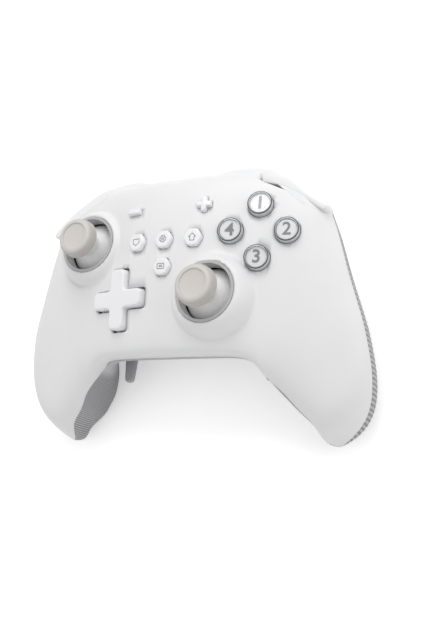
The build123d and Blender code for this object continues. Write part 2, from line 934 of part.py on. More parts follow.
def base(plane, rise, floor_depth, board):
    """A square cup that carries a gimbal and stands on a board."""
    foot = plane.origin.Z - face_level - board
    with BuildSketch(plane.offset(rise)) as section:
        Rectangle(2 * base_half, 2 * base_half)
    extrude(section.sketch, amount=-rise - foot - base_half)
    with BuildSketch(plane.offset(rise)) as section:
        Rectangle(2 * (base_half - base_wall), 2 * (base_half - base_wall))
    extrude(section.sketch, amount=-rise - floor_depth, mode=Mode.SUBTRACT)
    rod(sideways(plane), -base_half, base_half, pin_radius + running_gap, Mode.SUBTRACT)
    block((-overrun, overrun), (-overrun, overrun), (board - overrun, board), Mode.SUBTRACT)


def stick_cap(plane):
    """A round thumb cap with a dished top and a bore for the stem."""
    foot = pivot_depth + rim_height + cap_lift
    place = Plane(plane.origin, x_dir=(1, 0, 0), z_dir=(0, -1, 0))
    band = cap_height - cap_shoulder
    with BuildSketch(place.offset(0)) as section:
        with BuildLine():
            Polyline(
                (0, foot + cap_height - cap_dish),
                (0, foot),
                (cap_foot_radius, foot),
                (cap_radius, foot + band - cap_side),
                (cap_radius, foot + band),
            )
            Bezier(
                (cap_radius, foot + band),
                (cap_radius, foot + cap_height),
                (cap_face_radius, foot + cap_height),
            )
            Bezier(
                (cap_face_radius, foot + cap_height),
                (cap_face_radius / 2, foot + cap_height - cap_dish),
                (0, foot + cap_height - cap_dish),
            )
        make_face()
    revolve(section.sketch, axis=Axis(plane.origin, (0, 0, 1)))
    rod(plane, foot, foot + stem_head, stem_radius, Mode.SUBTRACT)


def stick_dome(plane):
    """A domed skirt with a cone above it and a bored neck and hub below it."""
    with Locations(plane):
        Sphere(dome_ball)
        Sphere(dome_ball - dome_wall, mode=Mode.SUBTRACT)
    hem = dome_ball * math.cos(math.radians(hem_angle))
    rod(plane, -dome_ball, hem, dome_ball + wall, Mode.SUBTRACT)
    cone_low = math.sqrt(dome_ball ** 2 - cone_foot ** 2) - dome_wall / 2
    cone_high = pivot_depth + rim_height + cap_lift - stem_travel - seat_gap
    with Locations(plane.offset(cone_low)):
        Cone(cone_foot, cone_top, cone_high - cone_low, align=(Align.CENTER, Align.CENTER, Align.MIN))
    rod(plane, 0, dome_ball - dome_wall / 2, neck_radius)
    hub(plane)
    rod(plane, -dome_ball, cone_high, stem_radius + running_gap, Mode.SUBTRACT)


def stick_stem(plane):
    """A round stem with a ball foot."""
    rod(plane, stem_radius - stem_foot, pivot_depth + rim_height + cap_lift + stem_head, stem_radius)
    with Locations(plane.offset(stem_radius - stem_foot)):
        Sphere(stem_radius)


left_plane, right_plane = [stick_plane(place) for place in stick_places]

for side, plane in (("left", left_plane), ("right", right_plane)):
    with BuildPart() as stick_ring:
        rod(plane, pivot_depth - ring_foot, pivot_depth + rim_height + ring_lip, ring_outer)
        rod(plane, 0, pivot_depth + rim_height + ring_lip, ring_bore, Mode.SUBTRACT)
    with BuildPart() as cap:
        stick_cap(plane)
    with BuildPart() as dome:
        stick_dome(plane)
    with BuildPart() as stem:
        stick_stem(plane)
    with BuildPart() as stick_gimbal:
        gimbal(plane)
    with BuildPart() as stick_base:
        base(plane, base_rise, base_floor_depth, board_level)
    with BuildPart() as stick_switch:
        with Locations(plane.offset(-base_floor_depth)):
            Box(switch_side, switch_side, switch_height, align=(Align.CENTER, Align.CENTER, Align.MIN))
        plunger_foot = switch_height - base_floor_depth
        rod(plane, plunger_foot, plunger_foot + plunger_height, plunger_radius)
    pieces = {
        "stick_ring": stick_ring,
        "stick_cap": cap,
        "stick_dome": dome,
        "stick_stem": stem,
        "stick_gimbal": stick_gimbal,
        "stick_base": stick_base,
        "stick_switch": stick_switch,
    }
    for name, piece in pieces.items():
        piece.part.label = f"{side}_{name}"
        export_step(piece.part, f"parts/{side}_{name}.step")

# Cross pad on its rocker, in the plane that touches the face there
pad_face = face_plane(-low_stick_x, low_y)
pad_pivot = pad_face.offset(-pad_pivot_depth)
skirt_top = -wall - pad_tilt_gap
skirt_foot = skirt_top - pad_skirt_thickness
foot_level = mat_top + small_dome_height + seat_gap
pad_feet = [(pad_foot_place, 0), (-pad_foot_place, 0), (0, pad_foot_place), (0, -pad_foot_place)]
with BuildPart() as dpad:
    bars = rounded_cross(pad_face.offset(skirt_foot), 2 * pad_half, 2 * pad_arm_half)
    extrude(bars, amount=pad_height - skirt_foot)
    rim = dpad.faces().filter_by(pad_face).sort_by(Axis(pad_face.origin, pad_face.z_dir))[-1]
    fillet(rim.edges(), radius=pad_edge)
    skirt_half = pad_half + pad_skirt
    skirt = rounded_cross(pad_face.offset(skirt_foot), 2 * skirt_half, 2 * (pad_arm_half + pad_skirt))
    extrude(skirt, amount=pad_skirt_thickness)
    rod(pad_pivot, 0, skirt_foot + pad_pivot_depth, neck_radius)
    hub(pad_pivot)
    for a, b in pad_feet:
        top = pad_face.from_local_coords(Vector(a, b, skirt_foot))
        drop = (top.Z - face_level - foot_level - pad_foot_drop) / pad_face.z_dir.Z
        post = Plane(top, x_dir=pad_face.x_dir, z_dir=pad_face.z_dir)
        rod(post, -drop, 0, small_dome_top)

dpad.part.label = "dpad"
export_step(dpad.part, "parts/dpad.step")

with BuildPart() as dpad_rocker:
    gimbal(pad_pivot)

dpad_rocker.part.label = "dpad_rocker"
export_step(dpad_rocker.part, "parts/dpad_rocker.step")

with BuildPart() as dpad_base:
    base(pad_pivot, pad_base_rise, hub_radius, upper_level)

dpad_base.part.label = "dpad_base"
export_step(dpad_base.part, "parts/dpad_base.step")

# Round face buttons: a core inside a clear lens
face_foot_level = mat_top + button_dome_height + button_foot_room + seat_gap
flange_top = -wall - flange_gap
for name, place in zip(("top", "right", "bottom", "left"), diamond_places):
    plane = face_plane(*place)
    core_foot = (face_foot_level - plane.origin.Z + face_level) / plane.z_dir.Z
    with BuildPart() as core:
        rod(plane, core_foot, button_height - button_lens_top, button_core_radius)
    core.part.label = f"face_button_{name}"
    export_step(core.part, f"parts/face_button_{name}.step")
    with BuildPart() as lens:
        low = flange_top - button_flange_thickness
        rod(plane, low, button_height, button_radius)
        rod(plane, low, flange_top, button_radius + button_flange)
        top_edge = lens.edges().sort_by(Axis(plane.origin, plane.z_dir))[-1]
        fillet(top_edge, radius=button_round)
        rod(plane, low, button_height - button_lens_top, button_core_radius, Mode.SUBTRACT)
    lens.part.label = f"face_button_{name}_lens"
    export_step(lens.part, f"parts/face_button_{name}_lens.step")

# Small buttons: six-sided ones, a bar and a plus
small_foot_level = foot_level + small_foot_room
small_low = flange_top - small_flange_thickness
hex_names = ("left_menu_button", "settings_button", "right_menu_button", "lower_menu_button")
for name, place in zip(hex_names, hex_places):
    plane = face_plane(*place)
    with BuildPart() as button:
        extrude(hexagon(plane.offset(small_low), 0), amount=hex_height - small_low)
        rim = button.faces().sort_by(Axis(plane.origin, plane.z_dir))[-1]
        chamfer(rim.edges(), length=hex_bevel)
        extrude(hexagon(plane.offset(small_low), small_flange), amount=small_flange_thickness)
        foot = (small_foot_level - plane.origin.Z + face_level) / plane.z_dir.Z
        rod(plane, foot, small_low, small_foot_radius)
    button.part.label = name
    export_step(button.part, f"parts/{name}.step")

for name, place in zip(("minus_button", "plus_button"), symbol_places):
    plane = face_plane(*place)
    is_plus = place[0] > 0
    with BuildPart() as button:
        extrude(symbol(plane.offset(small_low), is_plus, 0), amount=symbol_height - small_low)
        rim = button.faces().sort_by(Axis(plane.origin, plane.z_dir))[-1]
        chamfer(rim.edges(), length=symbol_edge)
        extrude(symbol(plane.offset(small_low), is_plus, small_flange), amount=small_flange_thickness)
        foot = (small_foot_level - plane.origin.Z + face_level) / plane.z_dir.Z
        rod(plane, foot, small_low, small_foot_radius)
    button.part.label = name
    export_step(button.part, f"parts/{name}.step")

# Boards
with BuildPart() as main_board:
    under = board_level - board_thickness
    block((-board_half_x, board_half_x), (board_front, board_back), (under, board_level))
    block((-board_tongue_half, board_tongue_half), (board_back, board_tongue_back), (under, board_level))
    block(
        (link_place_x - link_half_x, link_place_x + link_half_x),
        (link_place_y - link_half_y, link_place_y + link_half_y),
        (board_level, upper_level - board_thickness),
    )

main_board.part.label = "main_board"
export_step(main_board.part, "parts/main_board.step")

with BuildPart() as upper_board:
    under = upper_level - board_thickness
    block((upper_left, upper_split), (upper_front, upper_step), (under, upper_level))
    block((upper_bay, upper_split), (upper_step, upper_back), (under, upper_level))
    block((upper_split, upper_right), (upper_low_step, upper_back), (under, upper_level))
    corner = upper_board.edges().filter_by(Axis.Z).sort_by(Axis(spot(0, 0), (1, 1, 0)))[-1]
    chamfer(corner, length=upper_chamfer)
    for x, y in stick_places:
        column(x, y, under, upper_level, stick_clearing, Mode.SUBTRACT)

upper_board.part.label = "upper_board"
export_step(upper_board.part, "parts/upper_board.step")


def mat_dome(x, y, top, foot_radius, top_radius):
    """A hollow spring dome on a mat, up to a level."""
    rise = top - mat_top
    lift = Location(spot(x, y, mat_top))
    with Locations(lift):
        Cone(foot_radius, top_radius, rise, align=(Align.CENTER, Align.CENTER, Align.MIN))
    with Locations(Location(spot(x, y, upper_level))):
        Cone(
            foot_radius - mat_wall,
            top_radius - mat_wall,
            rise + mat_thickness - mat_wall,
            align=(Align.CENTER, Align.CENTER, Align.MIN),
            mode=Mode.SUBTRACT,
        )


def foot_place(plane, level):
    """Where a button's foot meets its dome, from the middle plane and the datum line."""
    depth = (level - plane.origin.Z + face_level) / plane.z_dir.Z
    point = plane.origin + plane.z_dir * depth
    return point.X, point.Y - face_y


with BuildPart() as face_button_mat:
    span = diamond_half + mat_dome_foot + mat_margin
    for half_x, half_y in ((span, mat_half), (mat_half, span)):
        wide = (high_stick_x - half_x, high_stick_x + half_x)
        block(wide, (high_y - half_y, high_y + half_y), (upper_level, mat_top))
    for x, y in diamond_places:
        foot_x, foot_y = foot_place(face_plane(x, y), face_foot_level)
        mat_dome(foot_x, foot_y, mat_top + button_dome_height, mat_dome_foot, mat_dome_top)

face_button_mat.part.label = "face_button_mat"
export_step(face_button_mat.part, "parts/face_button_mat.step")

with BuildPart() as dpad_mat:
    centre_x, centre_y = foot_place(pad_face, foot_level)
    span = pad_foot_place + small_dome_foot + mat_margin
    for half_x, half_y in ((span, mat_half), (mat_half, span)):
        wide = (centre_x - half_x, centre_x + half_x)
        block(wide, (centre_y - half_y, centre_y + half_y), (upper_level, mat_top))
    for a, b in pad_feet:
        arm = Plane(pad_face.from_local_coords(Vector(a, b, 0)), x_dir=pad_face.x_dir, z_dir=pad_face.z_dir)
        foot_x, foot_y = foot_place(arm, foot_level)
        mat_dome(foot_x, foot_y, mat_top + small_dome_height, small_dome_foot, small_dome_top)
    clear = base_half + hole_gap
    core_x, core_y = foot_place(pad_face, upper_level)
    border = clear + mat_border
    block((core_x - border, core_x + border), (core_y - border, core_y + border), (upper_level, mat_top))
    opening = (core_x - clear, core_x + clear)
    block(opening, (core_y - clear, core_y + clear), (upper_level, mat_top), Mode.SUBTRACT)
    for x, y in upper_posts:
        column(x, y, upper_level, mat_top, post_radius + hole_gap, Mode.SUBTRACT)

dpad_mat.part.label = "dpad_mat"
export_step(dpad_mat.part, "parts/dpad_mat.step")

with BuildPart() as menu_button_mat:
    side = symbol_x + small_dome_foot + mat_margin
    upper_edge = symbol_y + small_dome_foot + mat_margin
    lower_edge = middle_y - small_dome_foot - mat_margin
    block((-side, side), (lower_edge, upper_edge), (upper_level, mat_top))
    tongue_edge = lower_middle_y - small_dome_foot - mat_margin
    block((-mat_half, mat_half), (tongue_edge, lower_edge), (upper_level, mat_top))
    for place in hex_places + symbol_places:
        foot_x, foot_y = foot_place(face_plane(*place), small_foot_level)
        mat_dome(foot_x, foot_y, mat_top + small_dome_height, small_dome_foot, small_dome_top)
    for x, y in upper_posts:
        column(x, y, upper_level, mat_top, post_radius + hole_gap, Mode.SUBTRACT)

menu_button_mat.part.label = "menu_button_mat"
export_step(menu_button_mat.part, "parts/menu_button_mat.step")

with BuildPart() as battery:
    top = board_level - board_thickness - battery_room
    block(
        (-battery_half_x, battery_half_x),
        (battery_y - battery_half_y, battery_y + battery_half_y),
        (top - battery_height, top),
    )
    fillet(battery.edges(), radius=battery_round)

battery.part.label = "battery"
export_step(battery.part, "parts/battery.step")

socket_front = datum_drop - socket_set_back
with BuildPart() as usb_socket:
    mouth = Plane(
        spot(0, socket_front, board_level + socket_height / 2),
        x_dir=(1, 0, 0),
        z_dir=(0, -1, 0),
    )
    with BuildSketch(mouth) as section:
        SlotOverall(socket_width, socket_height)
    extrude(section.sketch, amount=socket_length)
    with BuildSketch(mouth) as section:
        SlotOverall(socket_width - 2 * socket_wall, socket_height - 2 * socket_wall)
    extrude(section.sketch, amount=socket_length - socket_wall, mode=Mode.SUBTRACT)
    with Locations(mouth.offset(socket_length - tongue_length / 2)):
        Box(tongue_width, tongue_height, tongue_length)

usb_socket.part.label = "usb_socket"
export_step(usb_socket.part, "parts/usb_socket.step")

# Bumpers
outer_count = len(bumper_outer_shares)
with BuildPart() as right_bumper:
    with BuildSketch(Plane.XY.offset(face_level + bumper_foot)) as section:
        with BuildLine():
            Spline(*bumper_points()[:outer_count])
            Polyline(*bumper_points()[outer_count - 1:], bumper_points()[0])
        make_face()
    extrude(section.sketch, amount=bumper_top - bumper_foot)
    rims = right_bumper.edges().filter_by(GeomType.BSPLINE)
    fillet(rims, radius=bumper_round)
    reach = bumper_pin_reach + bumper_gap
    column(bumper_pivot_x, bumper_pivot_y, bumper_foot - reach, bumper_top + reach, bumper_pin_radius)

right_bumper.part.label = "right_bumper"
export_step(right_bumper.part, "parts/right_bumper.step")

with BuildPart() as left_bumper:
    add(mirror(right_bumper.part, about=Plane.YZ, mode=Mode.PRIVATE))

left_bumper.part.label = "left_bumper"
export_step(left_bumper.part, "parts/left_bumper.step")

# Triggers
with BuildPart() as right_trigger:
    outer_edge = [(a * trigger_reach, -b * trigger_drop) for a, b in trigger_outer_shares]
    inner_edge = [(a * trigger_reach, -b * trigger_drop) for a, b in trigger_inner_shares]
    with BuildSketch(trigger_side.offset(-trigger_width / 2)) as section:
        with BuildLine():
            Spline(*outer_edge)
            Line(outer_edge[-1], inner_edge[0])
            Spline(*inner_edge)
            Polyline(
                inner_edge[-1],
                (trigger_pivot_reach, trigger_pivot_level - trigger_hub_radius),
                (trigger_pivot_reach, trigger_pivot_level + trigger_hub_radius),
                outer_edge[0],
            )
        make_face()
    extrude(section.sketch, amount=trigger_width)
    rod(trigger_axle, -trigger_width / 2, trigger_width / 2, trigger_hub_radius)
    rod(trigger_axle, -trigger_width / 2, trigger_width / 2, trigger_pin_radius + running_gap, Mode.SUBTRACT)

right_trigger.part.label = "right_trigger"
export_step(right_trigger.part, "parts/right_trigger.step")

with BuildPart() as left_trigger:
    add(mirror(right_trigger.part, about=Plane.YZ, mode=Mode.PRIVATE))

left_trigger.part.label = "left_trigger"
export_step(left_trigger.part, "parts/left_trigger.step")

with BuildPart() as right_trigger_pin:
    reach = trigger_width / 2 + trigger_wall_hold
    rod(trigger_axle, -reach, reach, trigger_pin_radius)

right_trigger_pin.part.label = "right_trigger_pin"
export_step(right_trigger_pin.part, "parts/right_trigger_pin.step")

with BuildPart() as left_trigger_pin:
    add(mirror(right_trigger_pin.part, about=Plane.YZ, mode=Mode.PRIVATE))

left_trigger_pin.part.label = "left_trigger_pin"
export_step(left_trigger_pin.part, "parts/left_trigger_pin.step")

# Paddles
with BuildPart() as right_paddle:
    root = paddle_width / 2
    end = paddle_tip_width / 2
    with BuildSketch(Plane.XY.offset(face_level + paddle_level)) as section:
        with BuildLine():
            hinge_y = face_y + paddle_hinge_y
            tip_y = face_y + paddle_tip_y
            Polyline(
                (paddle_x - end, tip_y),
                (paddle_x - root, hinge_y),
                (paddle_x + root, hinge_y),
                (paddle_x + end, tip_y),
                close=True,
            )
        make_face()
    extrude(section.sketch, amount=paddle_thickness)
    fillet(right_paddle.edges().sort_by(Axis.Y)[:4], radius=paddle_edge)
    hinge = sideways(Plane(spot(paddle_x, paddle_hinge_y, paddle_axle_level)))
    rod(hinge, -root, root, paddle_barrel)
    reach = root + paddle_side_gap + paddle_ear
    rod(hinge, -reach, reach, paddle_pin_radius)

right_paddle.part.label = "right_paddle"
export_step(right_paddle.part, "parts/right_paddle.step")

with BuildPart() as left_paddle:
    add(mirror(right_paddle.part, about=Plane.YZ, mode=Mode.PRIVATE))

left_paddle.part.label = "left_paddle"
export_step(left_paddle.part, "parts/left_paddle.step")

# Rumble motors with their eccentric weights
motor_axis = lengthways(Plane(spot(motor_x, motor_front, motor_level)))
weight_start = motor_length + weight_gap
with BuildPart() as right_motor:
    rod(motor_axis, 0, motor_length, motor_radius)
    fillet(right_motor.edges(), radius=motor_round)
    rod(motor_axis, 0, motor_length + shaft_length, shaft_radius)

right_motor.part.label = "right_motor"
export_step(right_motor.part, "parts/right_motor.step")

with BuildPart() as right_motor_weight:
    rod(motor_axis, weight_start, weight_start + weight_thickness, weight_radius)
    block((-overrun, overrun), (-overrun, overrun), (motor_level, motor_level + overrun), Mode.SUBTRACT)
    rod(motor_axis, weight_start, weight_start + weight_thickness, weight_inner)
    rod(motor_axis, weight_start, weight_start + weight_thickness, shaft_radius + running_gap, Mode.SUBTRACT)

right_motor_weight.part.label = "right_motor_weight"
export_step(right_motor_weight.part, "parts/right_motor_weight.step")

with BuildPart() as left_motor:
    add(mirror(right_motor.part, about=Plane.YZ, mode=Mode.PRIVATE))

left_motor.part.label = "left_motor"
export_step(left_motor.part, "parts/left_motor.step")

with BuildPart() as left_motor_weight:
    add(mirror(right_motor_weight.part, about=Plane.YZ, mode=Mode.PRIVATE))

left_motor_weight.part.label = "left_motor_weight"
export_step(left_motor_weight.part, "parts/left_motor_weight.step")

# Housing screws
with BuildPart() as housing_screws:
    for x, y, joint in screw_places:
        for hand in hands:
            seat = joint - screw_land
            column(hand * x, y, seat - screw_head_height, seat, screw_head_radius)
            column(hand * x, y, seat, joint + screw_bite, screw_radius)
            for long, short in ((screw_radius, driver_cross / 2), (driver_cross / 2, screw_radius)):
                low = seat - screw_head_height
                slot = (hand * x - long, hand * x + long)
                block(slot, (y - short, y + short), (low, low + driver_depth), Mode.SUBTRACT)

housing_screws.part.label = "housing_screws"
export_step(housing_screws.part, "parts/housing_screws.step")
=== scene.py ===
"""A white two-handed gamepad on a pale table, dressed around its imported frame.

Lengths in the dataclasses are in millimetres unless a name says otherwise.
The frame is in metres: +X to the player's right, +Y to the bumpers, +Z out of the face.
"""

import logging
import math
from dataclasses import dataclass, field
from enum import Enum
from typing import Sequence

import bmesh
import bpy
from mathutils import Matrix, Vector
from mathutils.bvhtree import BVHTree

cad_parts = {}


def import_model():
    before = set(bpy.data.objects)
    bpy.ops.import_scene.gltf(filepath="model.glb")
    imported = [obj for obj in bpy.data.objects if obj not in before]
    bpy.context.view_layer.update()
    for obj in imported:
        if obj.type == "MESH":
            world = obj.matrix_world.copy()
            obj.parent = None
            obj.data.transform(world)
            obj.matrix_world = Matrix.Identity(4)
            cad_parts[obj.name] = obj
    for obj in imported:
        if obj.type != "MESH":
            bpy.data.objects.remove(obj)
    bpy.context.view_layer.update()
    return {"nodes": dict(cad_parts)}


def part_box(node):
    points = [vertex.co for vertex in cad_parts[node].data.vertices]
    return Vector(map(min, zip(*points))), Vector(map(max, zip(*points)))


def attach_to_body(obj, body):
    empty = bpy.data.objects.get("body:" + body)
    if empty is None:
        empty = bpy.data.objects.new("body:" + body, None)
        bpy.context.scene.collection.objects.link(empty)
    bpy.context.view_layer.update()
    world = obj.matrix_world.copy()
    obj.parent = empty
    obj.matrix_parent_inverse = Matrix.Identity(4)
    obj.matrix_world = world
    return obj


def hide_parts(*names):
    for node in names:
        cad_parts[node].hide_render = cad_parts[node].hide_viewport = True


LOG = logging.getLogger("gamepad")
MM = 0.001
# How finely the housing is drawn: rows from station to station and in a tip, steps on a corner
STATION_ROWS = 10
TIP_ROWS = 14
FRONT_STEPS = 22
# Edges sharper than these angles, in degrees, stay sharp
SHARP = 35.0
SHARP_KEY = 50.0
SHARP_SKIN = 60.0


def linear(hex_colour: str) -> tuple[float, float, float, float]:
    """Turn an sRGB hex colour into linear values.

    Args:
        hex_colour: Six hex digits with a leading hash.

    Returns:
        Linear red, green, blue and an alpha of one.
    """
    values = []
    for start in (1, 3, 5):
        value = int(hex_colour[start:start + 2], 16) / 255
        values.append(value / 12.92 if value <= 0.04045 else ((value + 0.055) / 1.055) ** 2.4)
    return values[0], values[1], values[2], 1.0


class Finish(Enum):
    """How a plastic surface was left by its mould."""

    SATIN = "satin"
    GLOSS = "gloss"
    MATT = "matt"


ROUGHNESS = {Finish.SATIN: 0.42, Finish.GLOSS: 0.16, Finish.MATT: 0.62}


class Shader:
    """A small builder of procedural materials."""

    def __init__(self, name: str) -> None:
        """Start an empty node material.

        Args:
            name: Name of the material.
        """
        self.material = bpy.data.materials.new(name)
        self.material.use_nodes = True
        self.tree = self.material.node_tree
        self.tree.nodes.clear()

    def add(self, kind: str, settings: dict | None = None, **sockets: object) -> bpy.types.Node:
        """Add a node with its settings, its constants and its links.

        Args:
            kind: Blender's node type.
            settings: Node properties by name.
            sockets: Input values or output sockets, by input name with underscores for spaces.

        Returns:
            The new node.
        """
        node = self.tree.nodes.new(kind)
        for key, value in (settings or {}).items():
            setattr(node, key, value)
        for key, value in sockets.items():
            target = node.inputs[int(key[1:]) if key[1:].isdigit() else key.replace("_", " ")]
            if isinstance(value, bpy.types.NodeSocket):
                self.tree.links.new(value, target)
            else:
                target.default_value = value
        return node

    def surface(self, node: bpy.types.Node, output: str = "BSDF") -> bpy.types.Material:
        """Link a node to the material's surface.

        Args:
            node: The last shader node.
            output: Name of its output.

        Returns:
            The finished material.
        """
        end = self.add("ShaderNodeOutputMaterial")
        self.tree.links.new(node.outputs[output], end.inputs["Surface"])
        return self.material

    def noise(self, size: float, detail: float = 3.0) -> bpy.types.Node:
        """Noise in object space.

        Args:
            size: Size of its grains in millimetres.
            detail: Levels of finer noise.

        Returns:
            The noise node.
        """
        place = self.add("ShaderNodeTexCoord")
        return self.add(
            "ShaderNodeTexNoise", Vector=place.outputs["Object"],
            Scale=1 / (size * MM), Detail=detail,
        )

    def spread(self, value: bpy.types.NodeSocket, low: float, high: float) -> bpy.types.NodeSocket:
        """Map a value from 0..1 to a new span."""
        node = self.add("ShaderNodeMapRange", Value=value, To_Min=low, To_Max=high)
        return node.outputs["Result"]

    def bump(
        self, height: bpy.types.Node, strength: float, depth: float, **more: object,
    ) -> bpy.types.NodeSocket:
        """A normal that follows a pattern, with its depth in millimetres."""
        node = self.add(
            "ShaderNodeBump", Strength=strength, Distance=depth * MM,
            Height=height.outputs["Fac"], **more,
        )
        return node.outputs["Normal"]

    def mix(self, share: object, low: object, high: object) -> bpy.types.NodeSocket:
        """Mix two colours by a share."""
        node = self.add("ShaderNodeMix", {"data_type": "RGBA"}, _0=share, _6=low, _7=high)
        return node.outputs[2]


@dataclass(frozen=True)
class Plastic:
    """Moulded ABS or silicone: a fine grain, faint mottling and softened edges.

    The mould's grain gives the eye a soft, even sheen. It is drawn a few times coarser than it is,
    so that it shows.
    """

    name: str
    colour: str
    shade: str
    finish: Finish = Finish.SATIN
    grain: float = 0.25
    grain_depth: float = 0.01
    edge: float = 0.35
    coat: float = 0.0
    shine_through: float = 0.0
    shine_depth: float = 2.0
    mottle: float = 14.0
    bump: float = 0.5
    rough_low: float = 0.9
    rough_high: float = 1.12
    coat_roughness: float = 0.12
    ior: float = 1.5

    def build(self) -> bpy.types.Material:
        """Make the material.

        Returns:
            The plastic.
        """
        make = Shader(self.name)
        mottle = make.noise(self.mottle)
        fine = make.noise(self.grain, 2.0)
        colour = make.mix(mottle.outputs["Fac"], linear(self.colour), linear(self.shade))
        rough = ROUGHNESS[self.finish]
        span = (rough * self.rough_low, rough * self.rough_high)
        roughness = make.spread(fine.outputs["Fac"], *span)
        edges = make.add("ShaderNodeBevel", {"samples": 6}, Radius=self.edge * MM)
        normal = make.bump(fine, self.bump, self.grain_depth, Normal=edges.outputs["Normal"])
        return make.surface(make.add(
            "ShaderNodeBsdfPrincipled", Base_Color=colour, Roughness=roughness, Normal=normal,
            Coat_Weight=self.coat, Coat_Roughness=self.coat_roughness, IOR=self.ior,
            Subsurface_Weight=self.shine_through, Subsurface_Scale=self.shine_depth * MM,
        ))


@dataclass(frozen=True)
class RibbedGrip:
    """Moulded grey ABS whose grooves lie in shade, so that they look darker than its ribs."""

    name: str = "ribbed_grip_plastic"
    rib: str = "#c2c2c4"
    groove: str = "#808083"
    grain: float = 0.2
    grain_depth: float = 0.01
    bump: float = 0.4
    roughness: tuple[float, float] = (0.42, 0.55)

    def build(self) -> bpy.types.Material:
        """Make the material.

        Returns:
            The ribbed plastic.
        """
        make = Shader(self.name)
        ribs = make.add("ShaderNodeAttribute", {"attribute_name": "rib"})
        fine = make.noise(self.grain, 2.0)
        colour = make.mix(ribs.outputs["Fac"], linear(self.groove), linear(self.rib))
        return make.surface(make.add(
            "ShaderNodeBsdfPrincipled", Base_Color=colour,
            Roughness=make.spread(fine.outputs["Fac"], *self.roughness),
            Normal=make.bump(fine, self.bump, self.grain_depth),
        ))


@dataclass(frozen=True)
class CapRubber:
    """Moulded beige-grey rubber, matt and faintly soft, with painted light: paler on top where it
    faces up.
    """

    name: str = "cap_rubber"
    # Painted light and shade: top is the lit colour of the parts that face up, side the shaded
    # colour of the sides
    top: str = "#cdc8c4"
    side: str = "#bab5b0"
    # Upward shares of the normal between which the painted light turns from the side colour to the
    # top colour
    top_from: float = 0.55
    top_full: float = 0.95
    grain: float = 0.35
    grain_depth: float = 0.05
    bump: float = 0.6
    roughness: tuple[float, float] = (0.5, 0.68)
    sheen: float = 0.1

    def build(self) -> bpy.types.Material:
        """Make the material.

        Returns:
            The rubber.
        """
        make = Shader(self.name)
        # Painted light: the more the surface faces up, the more of the lit top colour it gets
        place = make.add("ShaderNodeNewGeometry")
        parts = make.add("ShaderNodeSeparateXYZ", Vector=place.outputs["Normal"])
        flat = make.add(
            "ShaderNodeMapRange", {"interpolation_type": "SMOOTHSTEP"},
            Value=parts.outputs["Z"], From_Min=self.top_from, From_Max=self.top_full,
        )
        colour = make.mix(flat.outputs["Result"], linear(self.side), linear(self.top))
        fine = make.noise(self.grain)
        return make.surface(make.add(
            "ShaderNodeBsdfPrincipled", Base_Color=colour, Sheen_Weight=self.sheen,
            Roughness=make.spread(fine.outputs["Fac"], *self.roughness),
            Normal=make.bump(fine, self.bump, self.grain_depth),
        ))


@dataclass(frozen=True)
class ClearLens:
    """Moulded clear polycarbonate: what lies under it shows, and its slanting parts shine."""

    name: str = "clear_button_lens"
    tint: str = "#fdfdfd"
    shine: float = 0.008
    edge_shine: float = 0.2
    blend: float = 0.3
    haze: float = 3.0
    roughness: tuple[float, float] = (0.04, 0.09)

    def build(self) -> bpy.types.Material:
        """Make the material.

        Returns:
            The clear plastic.
        """
        make = Shader(self.name)
        faint = make.noise(self.haze, 2.0)
        roughness = make.spread(faint.outputs["Fac"], *self.roughness)
        through = make.add("ShaderNodeBsdfTransparent", Color=linear(self.tint))
        gloss = make.add("ShaderNodeBsdfGlossy", Color=linear("#ffffff"), Roughness=roughness)
        weight = make.add("ShaderNodeLayerWeight", Blend=self.blend)
        share = make.spread(weight.outputs["Facing"], self.shine, self.edge_shine)
        return make.surface(make.add(
            "ShaderNodeMixShader", _0=share, _1=through.outputs["BSDF"], _2=gloss.outputs["BSDF"],
        ), "Shader")


@dataclass(frozen=True)
class Steel:
    """Brushed steel: fine lines one way, which draw its highlights out."""

    name: str
    colour: str = "#a9abad"
    grain: float = 0.15
    stretch: tuple[float, float, float] = (1.0, 0.08, 1.0)
    line_depth: float = 0.01
    bump: float = 0.3
    roughness: tuple[float, float] = (0.22, 0.42)

    def build(self) -> bpy.types.Material:
        """Make the material.

        Returns:
            The steel.
        """
        make = Shader(self.name)
        place = make.add("ShaderNodeTexCoord")
        drawn = make.add("ShaderNodeMapping", Vector=place.outputs["Object"], Scale=self.stretch)
        lines = make.add(
            "ShaderNodeTexNoise", Vector=drawn.outputs["Vector"],
            Scale=1 / (self.grain * MM), Detail=2.0,
        )
        return make.surface(make.add(
            "ShaderNodeBsdfPrincipled", Base_Color=linear(self.colour), Metallic=1.0,
            Roughness=make.spread(lines.outputs["Fac"], *self.roughness),
            Normal=make.bump(lines, self.bump, self.line_depth),
        ))


@dataclass(frozen=True)
class CircuitBoard:
    """Glass-fibre board under green lacquer: glossy, with copper tracks that show through paler."""

    name: str = "circuit_board"
    lacquer: str = "#1f6b3a"
    track: str = "#2f8a50"
    pitch: float = 1.6
    track_share: float = 0.06
    roughness: float = 0.3

    def build(self) -> bpy.types.Material:
        """Make the material.

        Returns:
            The board.
        """
        make = Shader(self.name)
        place = make.add("ShaderNodeTexCoord")
        tracks = make.add(
            "ShaderNodeTexBrick", Vector=place.outputs["Object"], Scale=1 / (self.pitch * MM),
            Color1=linear(self.lacquer), Color2=linear(self.lacquer), Mortar=linear(self.track),
            Mortar_Size=self.track_share,
        )
        return make.surface(make.add(
            "ShaderNodeBsdfPrincipled", Base_Color=tracks.outputs["Color"],
            Roughness=self.roughness,
        ))


